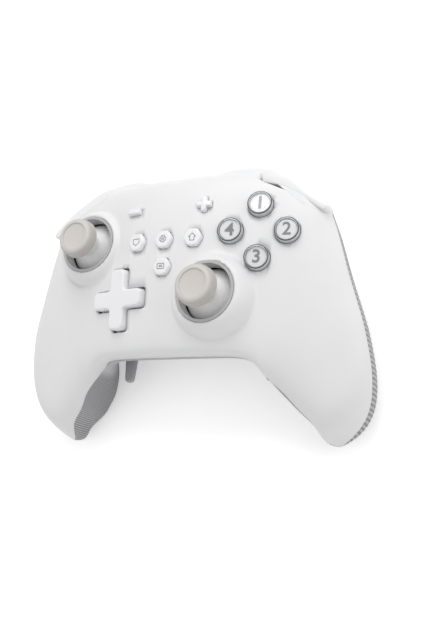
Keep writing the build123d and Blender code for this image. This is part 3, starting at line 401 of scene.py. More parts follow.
@dataclass
class Palette:
    """Every finish of the gamepad, built once."""

    # ABS from an etched mould: an even, satin white whose rounded edges catch a broad soft light
    shell: Plastic = Plastic("white_shell_plastic", "#e8e8e9", "#e4e4e5", Finish.SATIN, edge=0.5)
    rear: Plastic = Plastic("rear_shell_plastic", "#b9b9bb", "#b3b3b5", Finish.SATIN, edge=0.6)
    ring: Plastic = Plastic("stick_ring_plastic", "#bcbcbc", "#b6b6b6", Finish.SATIN, edge=0.15)
    dome: Plastic = Plastic("stick_dome_plastic", "#f2f2f2", "#ebebeb", Finish.SATIN)
    # ABS from finer moulds: the controls look a little whiter and smoother than the shell
    pad: Plastic = Plastic("cross_pad_plastic", "#f0f0f1", "#ebebed", Finish.SATIN, edge=0.3)
    button: Plastic = Plastic("button_plastic", "#f1f1f2", "#ececee", Finish.GLOSS, edge=0.15)
    bumper: Plastic = Plastic(
        "bumper_plastic", "#f1f1f1", "#ebebeb", Finish.GLOSS, edge=0.4, coat=0.3, shine_through=0.1,
    )
    trigger: Plastic = Plastic("trigger_plastic", "#a3a4a8", "#9c9da1", Finish.GLOSS, edge=0.4)
    # Glass-filled nylon, silicone and film inside: dull and plain, seen only through gaps
    inner: Plastic = Plastic("inner_plastic", "#46474a", "#3f4043", Finish.MATT)
    silicone: Plastic = Plastic("spring_mat_silicone", "#cfcec8", "#c7c6c0", Finish.MATT)
    wrap: Plastic = Plastic("battery_film", "#3a4048", "#353a42", Finish.SATIN)
    # Smooth grey ABS of the paddles, and the flat grey paint of the legends
    paddle: Plastic = Plastic("paddle_plastic", "#b7b7b9", "#b0b0b2", Finish.SATIN, edge=0.1)
    ink: Plastic = Plastic("legend_ink", "#8f9092", "#88898b", Finish.MATT, grain=0.12, edge=0.02)
    # The ribs look striped, the caps chalky, and the lenses clear with bright slanting rims
    grip: RibbedGrip = RibbedGrip()
    rubber: CapRubber = CapRubber()
    lens: ClearLens = ClearLens()
    # Clear plastic seen edge on gathers the dark round it, so its wall and rim look grey
    lens_wall: Plastic = Plastic(
        "lens_wall_plastic", "#cbccce", "#b4b6b9", Finish.GLOSS, grain=0.1, edge=0.02, coat=0.8,
    )
    lens_rim: Plastic = Plastic(
        "dark_lens_rim", "#4d4e51", "#3c3d40", Finish.GLOSS, grain=0.1, edge=0.02, coat=0.6,
    )
    # Stick stems, pins, motors and screws
    steel: Steel = Steel("brushed_steel")
    board: CircuitBoard = CircuitBoard()
    made: dict[str, bpy.types.Material] = field(default_factory=dict)

    def get(self, name: str) -> bpy.types.Material:
        """The material of a finish, built on first use.

        Args:
            name: Field name of the finish.

        Returns:
            The material.
        """
        if name not in self.made:
            self.made[name] = getattr(self, name).build()
        return self.made[name]


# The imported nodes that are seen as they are; new pieces stand for all the others
NODE_FINISHES = {
    "rear": ("rear_shell",),
    "ring": ("left_stick_ring", "right_stick_ring"),
    "dome": ("left_stick_dome", "right_stick_dome"),
    "button": ("face_button_top", "face_button_right", "face_button_bottom", "face_button_left"),
    "trigger": ("left_trigger", "right_trigger"),
    "inner": (
        "left_stick_gimbal", "right_stick_gimbal", "left_stick_switch", "right_stick_switch",
        "dpad_rocker", "dpad_base",
    ),
    "silicone": ("face_button_mat", "dpad_mat", "menu_button_mat"),
    "wrap": ("battery",),
    "board": ("main_board", "upper_board"),
    "steel": (
        "left_stick_stem", "right_stick_stem", "left_stick_base", "right_stick_base",
        "left_trigger_pin", "right_trigger_pin", "usb_socket", "left_motor", "right_motor",
        "left_motor_weight", "right_motor_weight", "housing_screws",
    ),
}


def dress(obj: bpy.types.Object, material: bpy.types.Material) -> None:
    """Give an object one material."""
    if not obj.material_slots:
        obj.data.materials.append(material)
    for slot in obj.material_slots:
        slot.material = material


def smooth_max(low: float, high: float, blend: float) -> float:
    """The larger of two heights with a rounded valley between them."""
    share = max(blend - abs(low - high), 0.0) / blend
    return max(low, high) + share * share * blend / 4


def curve_between(near: float, far: float, start: float, end: float, part: float) -> float:
    """A value on the smooth curve from one listed row to the next.

    Args:
        near: Value in the first row.
        far: Value in the second row.
        start: Slope at the first row.
        end: Slope at the second row.
        part: Place between the rows, from 0 to 1.

    Returns:
        The value there.
    """
    bend = near - far
    second = -3 * bend - 2 * start - end
    return near + part * (start + part * (second + part * (2 * bend + start + end)))


def hand_of(side: str) -> int:
    """The sign of x on a side."""
    return -1 if side == "left" else 1


def object_from(data: bpy.types.ID, name: str) -> bpy.types.Object:
    """Put a mesh, a curve, a lamp or a camera into the scene under a name."""
    obj = bpy.data.objects.new(name, data)
    bpy.context.collection.objects.link(obj)
    return obj


def object_from_bmesh(
    source: bmesh.types.BMesh, name: str, smooth_angle: float = SHARP,
) -> bpy.types.Object:
    """Turn a bmesh into an object that is shaded smooth up to an angle.

    Args:
        source: The bmesh, freed here.
        name: Name of the object.
        smooth_angle: Edges sharper than this stay sharp, in degrees.

    Returns:
        The new object.
    """
    bmesh.ops.recalc_face_normals(source, faces=source.faces)
    limit = math.radians(smooth_angle)
    for edge in source.edges:
        edge.smooth = len(edge.link_faces) == 2 and edge.calc_face_angle(0.0) < limit
    for face in source.faces:
        face.smooth = True
    mesh = bpy.data.meshes.new(name)
    source.to_mesh(mesh)
    source.free()
    return object_from(mesh, name)


def apply_modifiers(obj: bpy.types.Object) -> None:
    """Bake an object's modifiers into its mesh."""
    graph = bpy.context.evaluated_depsgraph_get()
    baked = bpy.data.meshes.new_from_object(obj.evaluated_get(graph))
    old = obj.data
    obj.modifiers.clear()
    obj.data = baked
    bpy.data.meshes.remove(old)


def thicken(obj: bpy.types.Object, wall: float, even: bool = False) -> None:
    """Give a skin a wall on its inner side.

    Args:
        obj: The skin.
        wall: Thickness of the wall in millimetres.
        even: Whether the wall keeps its thickness round sharp bends.
    """
    thick = obj.modifiers.new("wall", "SOLIDIFY")
    thick.thickness = wall * MM
    thick.offset = -1.0
    thick.use_even_offset = even
    apply_modifiers(obj)


def round_polygon(
    points: Sequence[tuple[float, float]], radius: float | Sequence[float], steps: int = 6,
) -> list[tuple[float, float]]:
    """Round the corners of a polygon.

    Args:
        points: Its corners in order.
        radius: Distance from a corner at which its curve starts, one for all or one each.
        steps: Points on each curve.

    Returns:
        The rounded outline.
    """
    rounded = []
    radii = [radius] * len(points) if isinstance(radius, float) else radius
    for index, (corner, reach) in enumerate(zip(points, radii)):
        here = Vector(corner)
        before = Vector(points[index - 1])
        after = Vector(points[(index + 1) % len(points)])
        start = here + (before - here).normalized() * reach
        end = here + (after - here).normalized() * reach
        for step in range(steps + 1):
            part = step / steps
            spot = start * (1 - part) ** 2 + here * 2 * part * (1 - part) + end * part ** 2
            rounded.append((spot.x, spot.y))
    return rounded


def grown(points: Sequence[tuple[float, float]], amount: float) -> list[tuple[float, float]]:
    """Move an outline outward along its corners' bisectors."""
    area = sum(a[0] * b[1] - b[0] * a[1] for a, b in zip(points, list(points[1:]) + [points[0]]))
    hand = 1 if area > 0 else -1
    moved = []
    for index, corner in enumerate(points):
        here = Vector(corner)
        into = (here - Vector(points[index - 1])).normalized()
        out = (Vector(points[(index + 1) % len(points)]) - here).normalized()
        way = into + out
        if way.length < 1e-6:
            way = into
        way.normalize()
        moved.append((here.x + hand * way.y * amount, here.y - hand * way.x * amount))
    return moved


def prism(
    name: str, outline: Sequence[tuple[float, float]], low: float, high: float,
    place: Matrix | None = None,
) -> bpy.types.Object:
    """An upright prism over an outline, in metres from millimetres.

    Args:
        name: Name of the object.
        outline: Its plan.
        low: Its lower level.
        high: Its upper level.
        place: A matrix in millimetres that carries the plan to its place.

    Returns:
        The prism.
    """
    made = bmesh.new()
    foot = [made.verts.new((x, y, low)) for x, y in outline]
    face = made.faces.new(foot)
    top = bmesh.ops.extrude_face_region(made, geom=[face])["geom"]
    lifted = [item for item in top if isinstance(item, bmesh.types.BMVert)]
    bmesh.ops.translate(made, verts=lifted, vec=(0, 0, high - low))
    matrix = Matrix.Scale(MM, 4) @ (place or Matrix())
    bmesh.ops.transform(made, matrix=matrix, verts=made.verts)
    return object_from_bmesh(made, name)


def ring_points(radius: float, count: int) -> list[tuple[float, float]]:
    """Points evenly spaced on a circle."""
    angles = [math.tau * number / count for number in range(count)]
    return [(radius * math.cos(angle), radius * math.sin(angle)) for angle in angles]


def cross_points(
    half: float, arm: float, corner: float, hollow: float = 0.6,
) -> list[tuple[float, float]]:
    """Outline of a cross with rounded arms and rounded hollows between them."""
    quarter = [(half, -arm), (half, arm), (arm, arm)]
    points: list[tuple[float, float]] = []
    for turn in range(4):
        cosine, sine = round(math.cos(turn * math.pi / 2)), round(math.sin(turn * math.pi / 2))
        points += [(x * cosine - y * sine, x * sine + y * cosine) for x, y in quarter]
    return round_polygon(points, [corner, corner, hollow] * 4, 7)


def bar_points(half: float, arm: float, corner: float) -> list[tuple[float, float]]:
    """Outline of a bar with rounded corners."""
    return round_polygon([(half, -arm), (half, arm), (-half, arm), (-half, -arm)], corner, 5)


def hexagon_points(radius: float, corner: float = 1.0) -> list[tuple[float, float]]:
    """Outline of a hexagon with rounded corners and two corners on the x axis."""
    return round_polygon(ring_points(radius, 6), corner, 6)


def attach(
    obj: bpy.types.Object, body: str, slot: str, material: bpy.types.Material, *nodes: str,
) -> bpy.types.Object:
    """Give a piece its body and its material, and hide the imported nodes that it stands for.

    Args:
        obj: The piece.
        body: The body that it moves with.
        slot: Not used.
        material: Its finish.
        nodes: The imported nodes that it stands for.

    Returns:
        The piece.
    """
    obj.data.materials.clear()
    obj.data.materials.append(material)
    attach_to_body(obj, body)
    if nodes:
        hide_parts(*nodes)
    LOG.info("made %s on %s", obj.name, body)
    return obj


@dataclass(frozen=True)
class HullShape:
    """The housing's form as shares of its sizes, by stations from the middle to a grip's tip.

    A station gives the plan of its inner and its outer edge, the levels of both side edges and the
    levels of both back edges. A row of squares says how square its four corners are.
    """

    half_width: float = 77.2
    body_length: float = 102.2
    grip_length: float = 28.7
    depth: float = 51.0
    top_y: float = 49.6
    datum_y: float = 31.2
    crest_y: float = 23.1
    level: float = 49.11
    dome_radius_x: float = 105.0
    dome_flat_x: float = 75.0
    dome_radius_y: float = 192.5
    tip_shares: tuple[float, float] = (0.791, 0.815)
    round_reach: float = 0.414
    square_reach: float = 0.550
    round_corner: float = 0.776
    square_corner: float = 0.224
    seam_start: float = 2.5
    seam_run: float = 3.4
    seam_inner: float = 0.24
    seam_outer: float = 0.13
    seam_steps: int = 6
    back_steps: int = 20
    soften_rounds: int = 44
    stations: tuple[tuple[float, ...], ...] = (
        (0.000, 0.000, 0.000, 0.000, 0.250, 0.260, 0.640, 0.608),
        (0.197, 0.000, 0.225, 0.000, 0.250, 0.260, 0.640, 0.608),
        (0.374, 0.002, 0.530, 0.026, 0.302, 0.226, 0.659, 0.608),
        (0.440, 0.074, 0.750, 0.124, 0.382, 0.275, 0.739, 0.626),
        (0.486, 0.217, 0.818, 0.223, 0.440, 0.343, 0.878, 0.667),
        (0.533, 0.367, 0.891, 0.410, 0.502, 0.388, 0.959, 0.724),
        (0.583, 0.517, 0.965, 0.605, 0.584, 0.467, 1.000, 0.822),
        (0.634, 0.667, 0.992, 0.759, 0.669, 0.578, 1.000, 0.902),
        (0.719, 0.829, 0.964, 0.877, 0.706, 0.735, 0.931, 0.914),
    )
    squares: tuple[tuple[float, ...], ...] = (
        (0.99, 0.64, 0.33, 0.27), (0.99, 0.69, 0.33, 0.27), (0.97, 0.72, 0.30, 0.23),
        (0.92, 0.64, 0.23, 0.23), (0.72, 0.42, 0.19, 0.42), (0.33, 0.23, 0.15, 0.51),
        (0.19, 0.19, 0.15, 0.47), (0.15, 0.15, 0.19, 0.44), (0.19, 0.05, 0.19, 0.23),
    )

    def face(self, x: float, y: float) -> float:
        """Height of the face's dome over the table."""
        across = x * x / (2 * self.dome_radius_x) / (1 + (x / self.dome_flat_x) ** 2)
        return self.level - across - (y - self.crest_y) ** 2 / (2 * self.dome_radius_y)

    def between(self, rows: Sequence[Sequence[float]], place: float) -> list[float]:
        """A row at a place between the listed stations, on a smooth curve through them."""
        last = len(rows) - 1
        low = min(int(place), last - 1)
        part = place - low
        values = []
        for near, far, before, after in zip(
            rows[low], rows[low + 1], rows[max(low - 1, 0)], rows[min(low + 2, last)],
        ):
            start = (far - before) / 2 if low > 0 else 0.0
            end = (after - near) / 2 if low + 2 <= last else far - near
            values.append(curve_between(near, far, start, end, part))
        return values

    def poles(self, place: float) -> list[list[Vector]]:
        """Control points of a station's four corners, in order round it, in millimetres.

        Args:
            place: Station number, with parts in between.

        Returns:
            Front inner, front outer, back outer and back inner corner.
        """
        row = self.between(self.stations, place)
        squares = self.between(self.squares, place)
        arch_y = self.top_y - self.body_length + self.grip_length
        inner = Vector((row[0] * self.half_width, arch_y - row[1] * self.grip_length))
        outer = Vector((row[2] * self.half_width, self.top_y - row[3] * self.body_length))
        levels = [self.level - share * self.depth for share in row[4:]]
        side_in, side_out, back_in, back_out = levels
        middle, step = (inner + outer) / 2, (outer - inner) / 2
        crown = self.face(*middle)
        slope = (self.face(*(middle + step)) - self.face(*(middle - step))) / 2

        def spot(across: float, rise: float) -> Vector:
            """A point of the station from its place across and its rise over the side edges."""
            share = (1 + across) / 2
            plan = inner + (outer - inner) * share
            side = side_in + (side_out - side_in) * share
            if rise < 0:
                edge = back_in + (back_out - back_in) * share
            else:
                edge = self.face(*plan) if rise < 1 else crown + slope * across
            return Vector((plan.x, plan.y, side + (edge - side) * abs(rise)))

        corners = []
        turns = ((-1, 1, False), (1, 1, True), (1, -1, False), (-1, -1, True))
        for square, (hand, way, back) in zip(squares, turns):
            reach = self.round_reach + self.square_reach * square
            corner = self.round_corner + self.square_corner * square
            ways = [(1.0, 0.0), (1.0, reach), (corner, corner), (reach, 1.0), (0.0, 1.0)]
            made = [spot(hand * across, way * rise) for across, rise in ways]
            corners.append(made[::-1] if back else made)
        return corners

    def seam(self, place: float) -> tuple[float, float]:
        """Where the covers' seam crosses the inner and the outer front corner of a station."""
        part = min(max((place - self.seam_start) / self.seam_run, 0.0), 1.0)
        rise = part * part * (3 - 2 * part)
        return self.seam_inner * rise, 1.0 - self.seam_outer * rise

    def loop(self, place: float, steps: int) -> list[Vector]:
        """Points all round one station, from its inner seam over the front and back to it.

        Args:
            place: Station number, with parts in between.
            steps: Steps on each front corner.

        Returns:
            The points, the last one on the first.
        """
        corners = self.poles(place)
        low, high = self.seam(place)
        seam, back = self.seam_steps, self.back_steps
        spans = (
            (0, low, 1.0, steps), (1, 0.0, high, steps), (1, high, 1.0, seam),
            (2, 0.0, 1.0, back), (3, 0.0, 1.0, back), (0, 0.0, low, seam),
        )
        points: list[Vector] = []
        for corner, start, end, count in spans:
            for step in range(1 if points else 0, count + 1):
                part = start + (end - start) * step / count
                weights = [math.comb(4, k) * part ** k * (1 - part) ** (4 - k) for k in range(5)]
                pulls = (pole * weight for pole, weight in zip(corners[corner], weights))
                points.append(sum(pulls, Vector((0, 0, 0))))
        return points

    def half(self, per_station: int, steps: int, tip_steps: int) -> list[list[Vector]]:
        """The right half as rows of points, from the middle plane to the grip's tip.

        Args:
            per_station: Rows from one listed station to the next.
            steps: Steps on each front corner of a row.
            tip_steps: Rows from the last station to the tip.

        Returns:
            The rows, softened where the grip turns into its tip.
        """
        last = len(self.stations) - 1
        rows = [self.loop(count / per_station, steps) for count in range(last * per_station + 1)]
        ends = [pole for corner in self.poles(last) for pole in corner]
        centre = sum(ends, Vector((0, 0, 0))) / len(ends)
        tip = Vector((
            self.tip_shares[0] * self.half_width, self.top_y - self.body_length,
            self.level - self.tip_shares[1] * self.depth,
        ))
        full = rows[-1]
        for count in range(1, tip_steps + 1):
            angle = math.pi / 2 * count / tip_steps
            middle = centre + (tip - centre) * math.sin(angle)
            rows.append([middle + (point - centre) * math.cos(angle) for point in full])
        start = (last - 2) * per_station
        for _ in range(self.soften_rounds):
            before = [list(row) for row in rows]
            for index in range(start, len(rows) - 1):
                rows[index] = [
                    (low + here * 2 + high) / 4
                    for low, here, high in zip(before[index - 1], before[index], before[index + 1])
                ]
        return rows


@dataclass(frozen=True)
class ControlLayout:
    """Where the controls stand on the face, from the middle plane and the datum line."""

    sticks: tuple[tuple[float, float], ...] = ((-37.25, -9.3), (19.9, -33.6))
    pad: tuple[float, float] = (-19.9, -33.6)
    diamond: tuple[tuple[float, float], ...] = (
        (37.25, 1.25), (47.8, -9.3), (37.25, -19.85), (26.7, -9.3),
    )
    small: tuple[tuple[float, float], ...] = (
        (-12.3, -11.4), (0.0, -11.4), (12.3, -11.4), (0.0, -22.3),
    )
    symbols: tuple[tuple[float, float], ...] = ((-15.6, 2.0), (15.6, 2.0))
    rim_height: float = 4.5
    # Half the span over which the slope of the face is taken, and a level above the whole part
    patch: float = 4.5
    above: float = 90.0
    # Openings: radii, or half length, half width and corner
    round_hole: float = 5.1
    key_hole: float = 4.15
    symbol_hole: tuple[float, float, float] = (3.15, 1.25, 0.5)
    pad_hole: tuple[float, float, float] = (12.95, 4.4, 2.1)
    cut_depth: float = 5.0
    bore_span: tuple[float, float] = (-12.0, 9.0)


@dataclass(frozen=True)
class CollarShape:
    """Profile of a stick collar, from the bore outward: radius and drop below its rim, as shares.

    Past its base the collar falls on as a steep skirt, and it fades out where the housing's side
    lies far below its rim.
    """

    bore: float = 12.1
    base: float = 17.5
    depth: float = 11.0
    blend: float = 1.4
    skirt: float = 3.2
    reach: float = 1.4
    fade_low: float = 8.0
    fade: float = 5.0
    lowest: float = 30.0
    cuts: int = 3
    profile: tuple[tuple[float, float], ...] = (
        (0.600, 0.400), (0.691, 0.027), (0.720, 0.000), (0.766, 0.032), (0.817, 0.127),
        (0.903, 0.364), (0.971, 0.727), (1.000, 1.000), (1.100, 3.000),
    )

    def height(self, radius: float) -> float:
        """Level of the collar's surface under its rim at a radius, on a smooth curve."""
        rows = self.profile
        share = radius / self.base
        if share <= rows[1][0]:
            return -rows[1][1] * self.depth
        for index in range(1, len(rows) - 2):
            (r0, d0), (r1, d1), (r2, d2), (r3, d3) = rows[index - 1:index + 3]
            if share <= r2:
                part = (share - r1) / (r2 - r1)
                start = (d2 - d0) / (r2 - r0) * (r2 - r1) if index > 1 else (d2 - d1)
                end = (d3 - d1) / (r3 - r1) * (r2 - r1)
                return -curve_between(d1, d2, start, end, part) * self.depth
        return -(1.0 + (share - 1.0) * self.skirt) * self.depth


@dataclass(frozen=True)
class BumperPlan:
    """Plan of a bumper, as shares of the housing's sizes, and of the room it needs in the shell."""

    hull: HullShape = HullShape()
    open_x: float = 35.0
    beside: float = 8.0
    room_span: tuple[float, float] = (-9.6, 6.0)
    gap: float = 0.35
    pivot: tuple[float, float] = (17.5, 15.7)
    press_angle: float = 2.1
    outer_count: int = 9
    shares: tuple[tuple[float, float], ...] = (
        (0.188, 0.186), (0.294, 0.202), (0.409, 0.194), (0.522, 0.178), (0.614, 0.135),
        (0.685, 0.100), (0.746, 0.061), (0.790, 0.027), (0.811, -0.002), (0.784, -0.015),
        (0.699, 0.034), (0.609, 0.083), (0.492, 0.120), (0.363, 0.131), (0.188, 0.129),
    )

    def points(self) -> list[tuple[float, float]]:
        """Corners of the right bumper's plan in millimetres."""
        wide, long, datum = self.hull.half_width, self.hull.body_length, self.hull.datum_y
        return [(across * wide, datum + along * long) for across, along in self.shares]

    def room(self) -> list[tuple[float, float]]:
        """Corners of the room that the right bumper sweeps when it is pressed.

        Returns:
            The outer edge at rest and the inner edge pressed, both moved outward by the gap.
        """
        points = self.points()
        turn = math.radians(self.press_angle)
        pivot_x, pivot_y = self.pivot[0], self.hull.datum_y + self.pivot[1]
        pressed = [
            (
                pivot_x + (x - pivot_x) * math.cos(turn) + (y - pivot_y) * math.sin(turn),
                pivot_y + (y - pivot_y) * math.cos(turn) - (x - pivot_x) * math.sin(turn),
            )
            for x, y in points[self.outer_count - 1:]
        ]
        return grown(points[:self.outer_count] + pressed, self.gap)


class FrontSkin:
    """The white front shell: a smooth skin with two collars and the openings for the controls."""

    def __init__(self, hull: HullShape, layout: ControlLayout, collar: CollarShape) -> None:
        """Keep the shapes that the skin is made from.

        Args:
            hull: The housing's form.
            layout: Places of the controls.
            collar: Profile of the stick collars.
        """
        self.hull = hull
        self.layout = layout
        self.collar = collar
        self.rows = hull.half(STATION_ROWS, FRONT_STEPS, TIP_ROWS)
        self.tree: BVHTree | None = None

    def build(self, material: bpy.types.Material, wall: float = 2.0) -> bpy.types.Object:
        """Make the skin.

        Args:
            material: Its plastic.
            wall: Thickness of the wall in millimetres.

        Returns:
            The shell.
        """
        made = self.make_surface()
        self.tree = BVHTree.FromBMesh(made)
        self.raise_collars(made)
        skin = object_from_bmesh(made, "front_skin", SHARP_SKIN)
        thicken(skin, wall, even=True)
        self.cut(skin)
        for polygon in skin.data.polygons:
            polygon.use_smooth = True
        return attach(skin, "housing", "shell_white", material, "front_shell")

    def make_surface(self) -> bmesh.types.BMesh:
        """Lay the rows of both halves as one net of faces, in metres."""
        half = [row[:2 * FRONT_STEPS + 1] for row in self.rows]
        mirrored = [[Vector((-p.x, p.y, p.z)) for p in row] for row in half[:0:-1]]
        rows = mirrored + half
        made = bmesh.new()
        verts = [[made.verts.new(point * MM) for point in row] for row in rows]
        for left, right in zip(verts, verts[1:]):
            for low in range(len(left) - 1):
                made.faces.new((left[low], right[low], right[low + 1], left[low + 1]))
        bmesh.ops.remove_doubles(made, verts=made.verts, dist=0.02 * MM)
        return made

    def raise_collars(self, made: bmesh.types.BMesh) -> None:
        """Refine the net round the sticks and lift it to the collars.

        Args:
            made: The net, changed here.
        """
        collar = self.collar
        for x, y in self.layout.sticks:
            centre = Vector((x, self.hull.datum_y + y)) * MM

            def near(vert: bmesh.types.BMVert) -> bool:
                """Whether the collar can reach a point of the net."""
                radius = (vert.co.xy - centre).length / MM
                return radius < collar.base * collar.reach and vert.co.z > collar.lowest * MM

            edges = [edge for edge in made.edges if all(near(vert) for vert in edge.verts)]
            bmesh.ops.subdivide_edges(made, edges=edges, cuts=collar.cuts, use_grid_fill=True)
            rim = self.hull.face(x, self.hull.datum_y + y) + self.layout.rim_height
            for vert in filter(near, made.verts):
                here = vert.co.z / MM
                radius = (vert.co.xy - centre).length / MM
                share = (here - rim + collar.depth + collar.fade_low) / collar.fade
                share = min(max(share, 0.0), 1.0)
                level = smooth_max(here, rim + collar.height(radius), collar.blend)
                vert.co.z = (here + (level - here) * share * share * (3 - 2 * share)) * MM

    def plane(self, x: float, y: float) -> Matrix:
        """A matrix that carries local millimetres onto the face at a place.

        Args:
            x: Distance to the middle plane.
            y: Distance to the datum line.

        Returns:
            The matrix, in millimetres.
        """
        patch = self.layout.patch
        levels = []
        for step_x, step_y in ((patch, 0), (-patch, 0), (0, patch), (0, -patch)):
            start = Vector((x + step_x, self.hull.datum_y + y + step_y, self.layout.above)) * MM
            levels.append(self.tree.ray_cast(start, Vector((0, 0, -1)))[0].z / MM)
        slope_x = (levels[0] - levels[1]) / (2 * patch)
        slope_y = (levels[2] - levels[3]) / (2 * patch)
        along = Vector((1, 0, slope_x)).normalized()
        out = Vector((-slope_x, -slope_y, 1)).normalized()
        side = out.cross(along)
        turn = Matrix((along, side, out)).transposed().to_4x4()
        return Matrix.Translation((x, self.hull.datum_y + y, sum(levels) / 4)) @ turn

    def cutters(self) -> list[bpy.types.Object]:
        """Prisms through the skin at each opening.

        Returns:
            The prisms, as objects of the scene.
        """
        layout, hull = self.layout, self.hull
        tools = []
        for x, y in layout.sticks:
            place = Matrix.Translation((x, hull.datum_y + y, hull.face(x, hull.datum_y + y)))
            ring = ring_points(self.collar.bore, 160)
            tools.append(prism("bore", ring, *layout.bore_span, place))
        bar, cross = bar_points(*layout.symbol_hole), cross_points(*layout.symbol_hole)
        holes = [(spot, ring_points(layout.round_hole, 96)) for spot in layout.diamond]
        holes += [(spot, hexagon_points(layout.key_hole)) for spot in layout.small]
        holes += list(zip(layout.symbols, (bar, cross)))
        holes.append((layout.pad, cross_points(*layout.pad_hole)))
        deep = layout.cut_depth
        tools += [prism("hole", outline, -deep, deep, self.plane(*spot)) for spot, outline in holes]
        plan = BumperPlan()
        outer = [point for point in plan.room() if point[0] > plan.open_x - plan.beside]
        low, high = (hull.level + level for level in plan.room_span)
        for hand in (1, -1):
            outline = [(hand * max(x, plan.open_x), y) for x, y in outer]
            tools.append(prism("bumper_hole", outline, low, high))
        return tools

    def cut(self, skin: bpy.types.Object) -> None:
        """Cut every opening in one exact step."""
        tools = self.cutters()
        joined = bmesh.new()
        for tool in tools:
            joined.from_mesh(tool.data)
            bpy.data.objects.remove(tool)
        tool = object_from_bmesh(joined, "openings")
        step = skin.modifiers.new("openings", "BOOLEAN")
        step.operation = "DIFFERENCE"
        step.solver = "EXACT"
        step.object = tool
        apply_modifiers(skin)
        bpy.data.objects.remove(tool)


@dataclass(frozen=True)
class GripCover:
    """A ribbed cover round the back of one grip, from the slanting joint to the tip.

    The ribs are rows of the net, a finer part of those of the housing. They are drawn a little
    coarser than they are, so that they show, and rise from a plain strip by the arch.
    """

    first_row: int = 14
    finer: int = 5
    plain_rows: float = 18.0
    ramp_rows: float = 6.0
    pitch: float = 1.25
    depth: float = 0.26
    joint_outer: tuple[float, float] = (74.0, 33.2)
    joint_inner: tuple[float, float] = (29.0, -18.8)
    wall: float = 1.8

    def build(
        self, rows: Sequence[Sequence[Vector]], side: str, material: bpy.types.Material,
    ) -> bpy.types.Object:
        """Make one cover.

        Args:
            rows: The right half's rows of points.
            side: left or right.
            material: Its plastic.

        Returns:
            The cover.
        """
        hand = hand_of(side)
        nets = [row[2 * FRONT_STEPS:] for row in rows[self.first_row:]]
        middle = len(nets[0]) // 2
        made = bmesh.new()
        layer = made.verts.layers.float.new("rib")
        travel = 0.0
        lines: list[list[bmesh.types.BMVert]] = []
        lifts: dict[bmesh.types.BMVert, float] = {}
        for index, (low, high) in enumerate(zip(nets, nets[1:])):
            span = (high[middle] - low[middle]).length
            for step in range(self.finer):
                part = step / self.finer
                ramp = min(max((index + part - self.plain_rows) / self.ramp_rows, 0.0), 1.0)
                lift = 0.5 + 0.5 * math.cos(math.tau * (travel + span * part) / self.pitch)
                lift = 1.0 - (1.0 - lift) * ramp
                line = []
                for near, far in zip(low, high):
                    spot = near + (far - near) * part
                    vert = made.verts.new((hand * spot.x * MM, spot.y * MM, spot.z * MM))
                    lifts[vert] = lift
                    line.append(vert)
                lines.append(line)
            travel += span
        for low, high in zip(lines, lines[1:]):
            for column in range(len(low) - 1):
                corners = (low[column], high[column], high[column + 1], low[column + 1])
                made.faces.new(corners if hand > 0 else corners[::-1])
        made.normal_update()
        for vert, lift in lifts.items():
            vert.co -= vert.normal * (1.0 - lift) * self.depth * MM
            vert[layer] = lift
        start, end = Vector((*self.joint_inner, 0)), Vector((*self.joint_outer, 0))
        across = (end - start).normalized()
        bmesh.ops.bisect_plane(
            made, geom=[*made.verts, *made.edges, *made.faces], clear_inner=True,
            plane_co=Vector((hand * start.x, start.y, 0)) * MM,
            plane_no=Vector((hand * across.y, -across.x, 0)),
        )
        mesh = bpy.data.meshes.new(f"{side}_grip_ribs")
        for face in made.faces:
            face.smooth = True
        made.to_mesh(mesh)
        made.free()
        cover = object_from(mesh, f"{side}_grip_ribs")
        thicken(cover, self.wall)
        return attach(cover, "housing", "grip_grey", material, f"{side}_grip_cover")


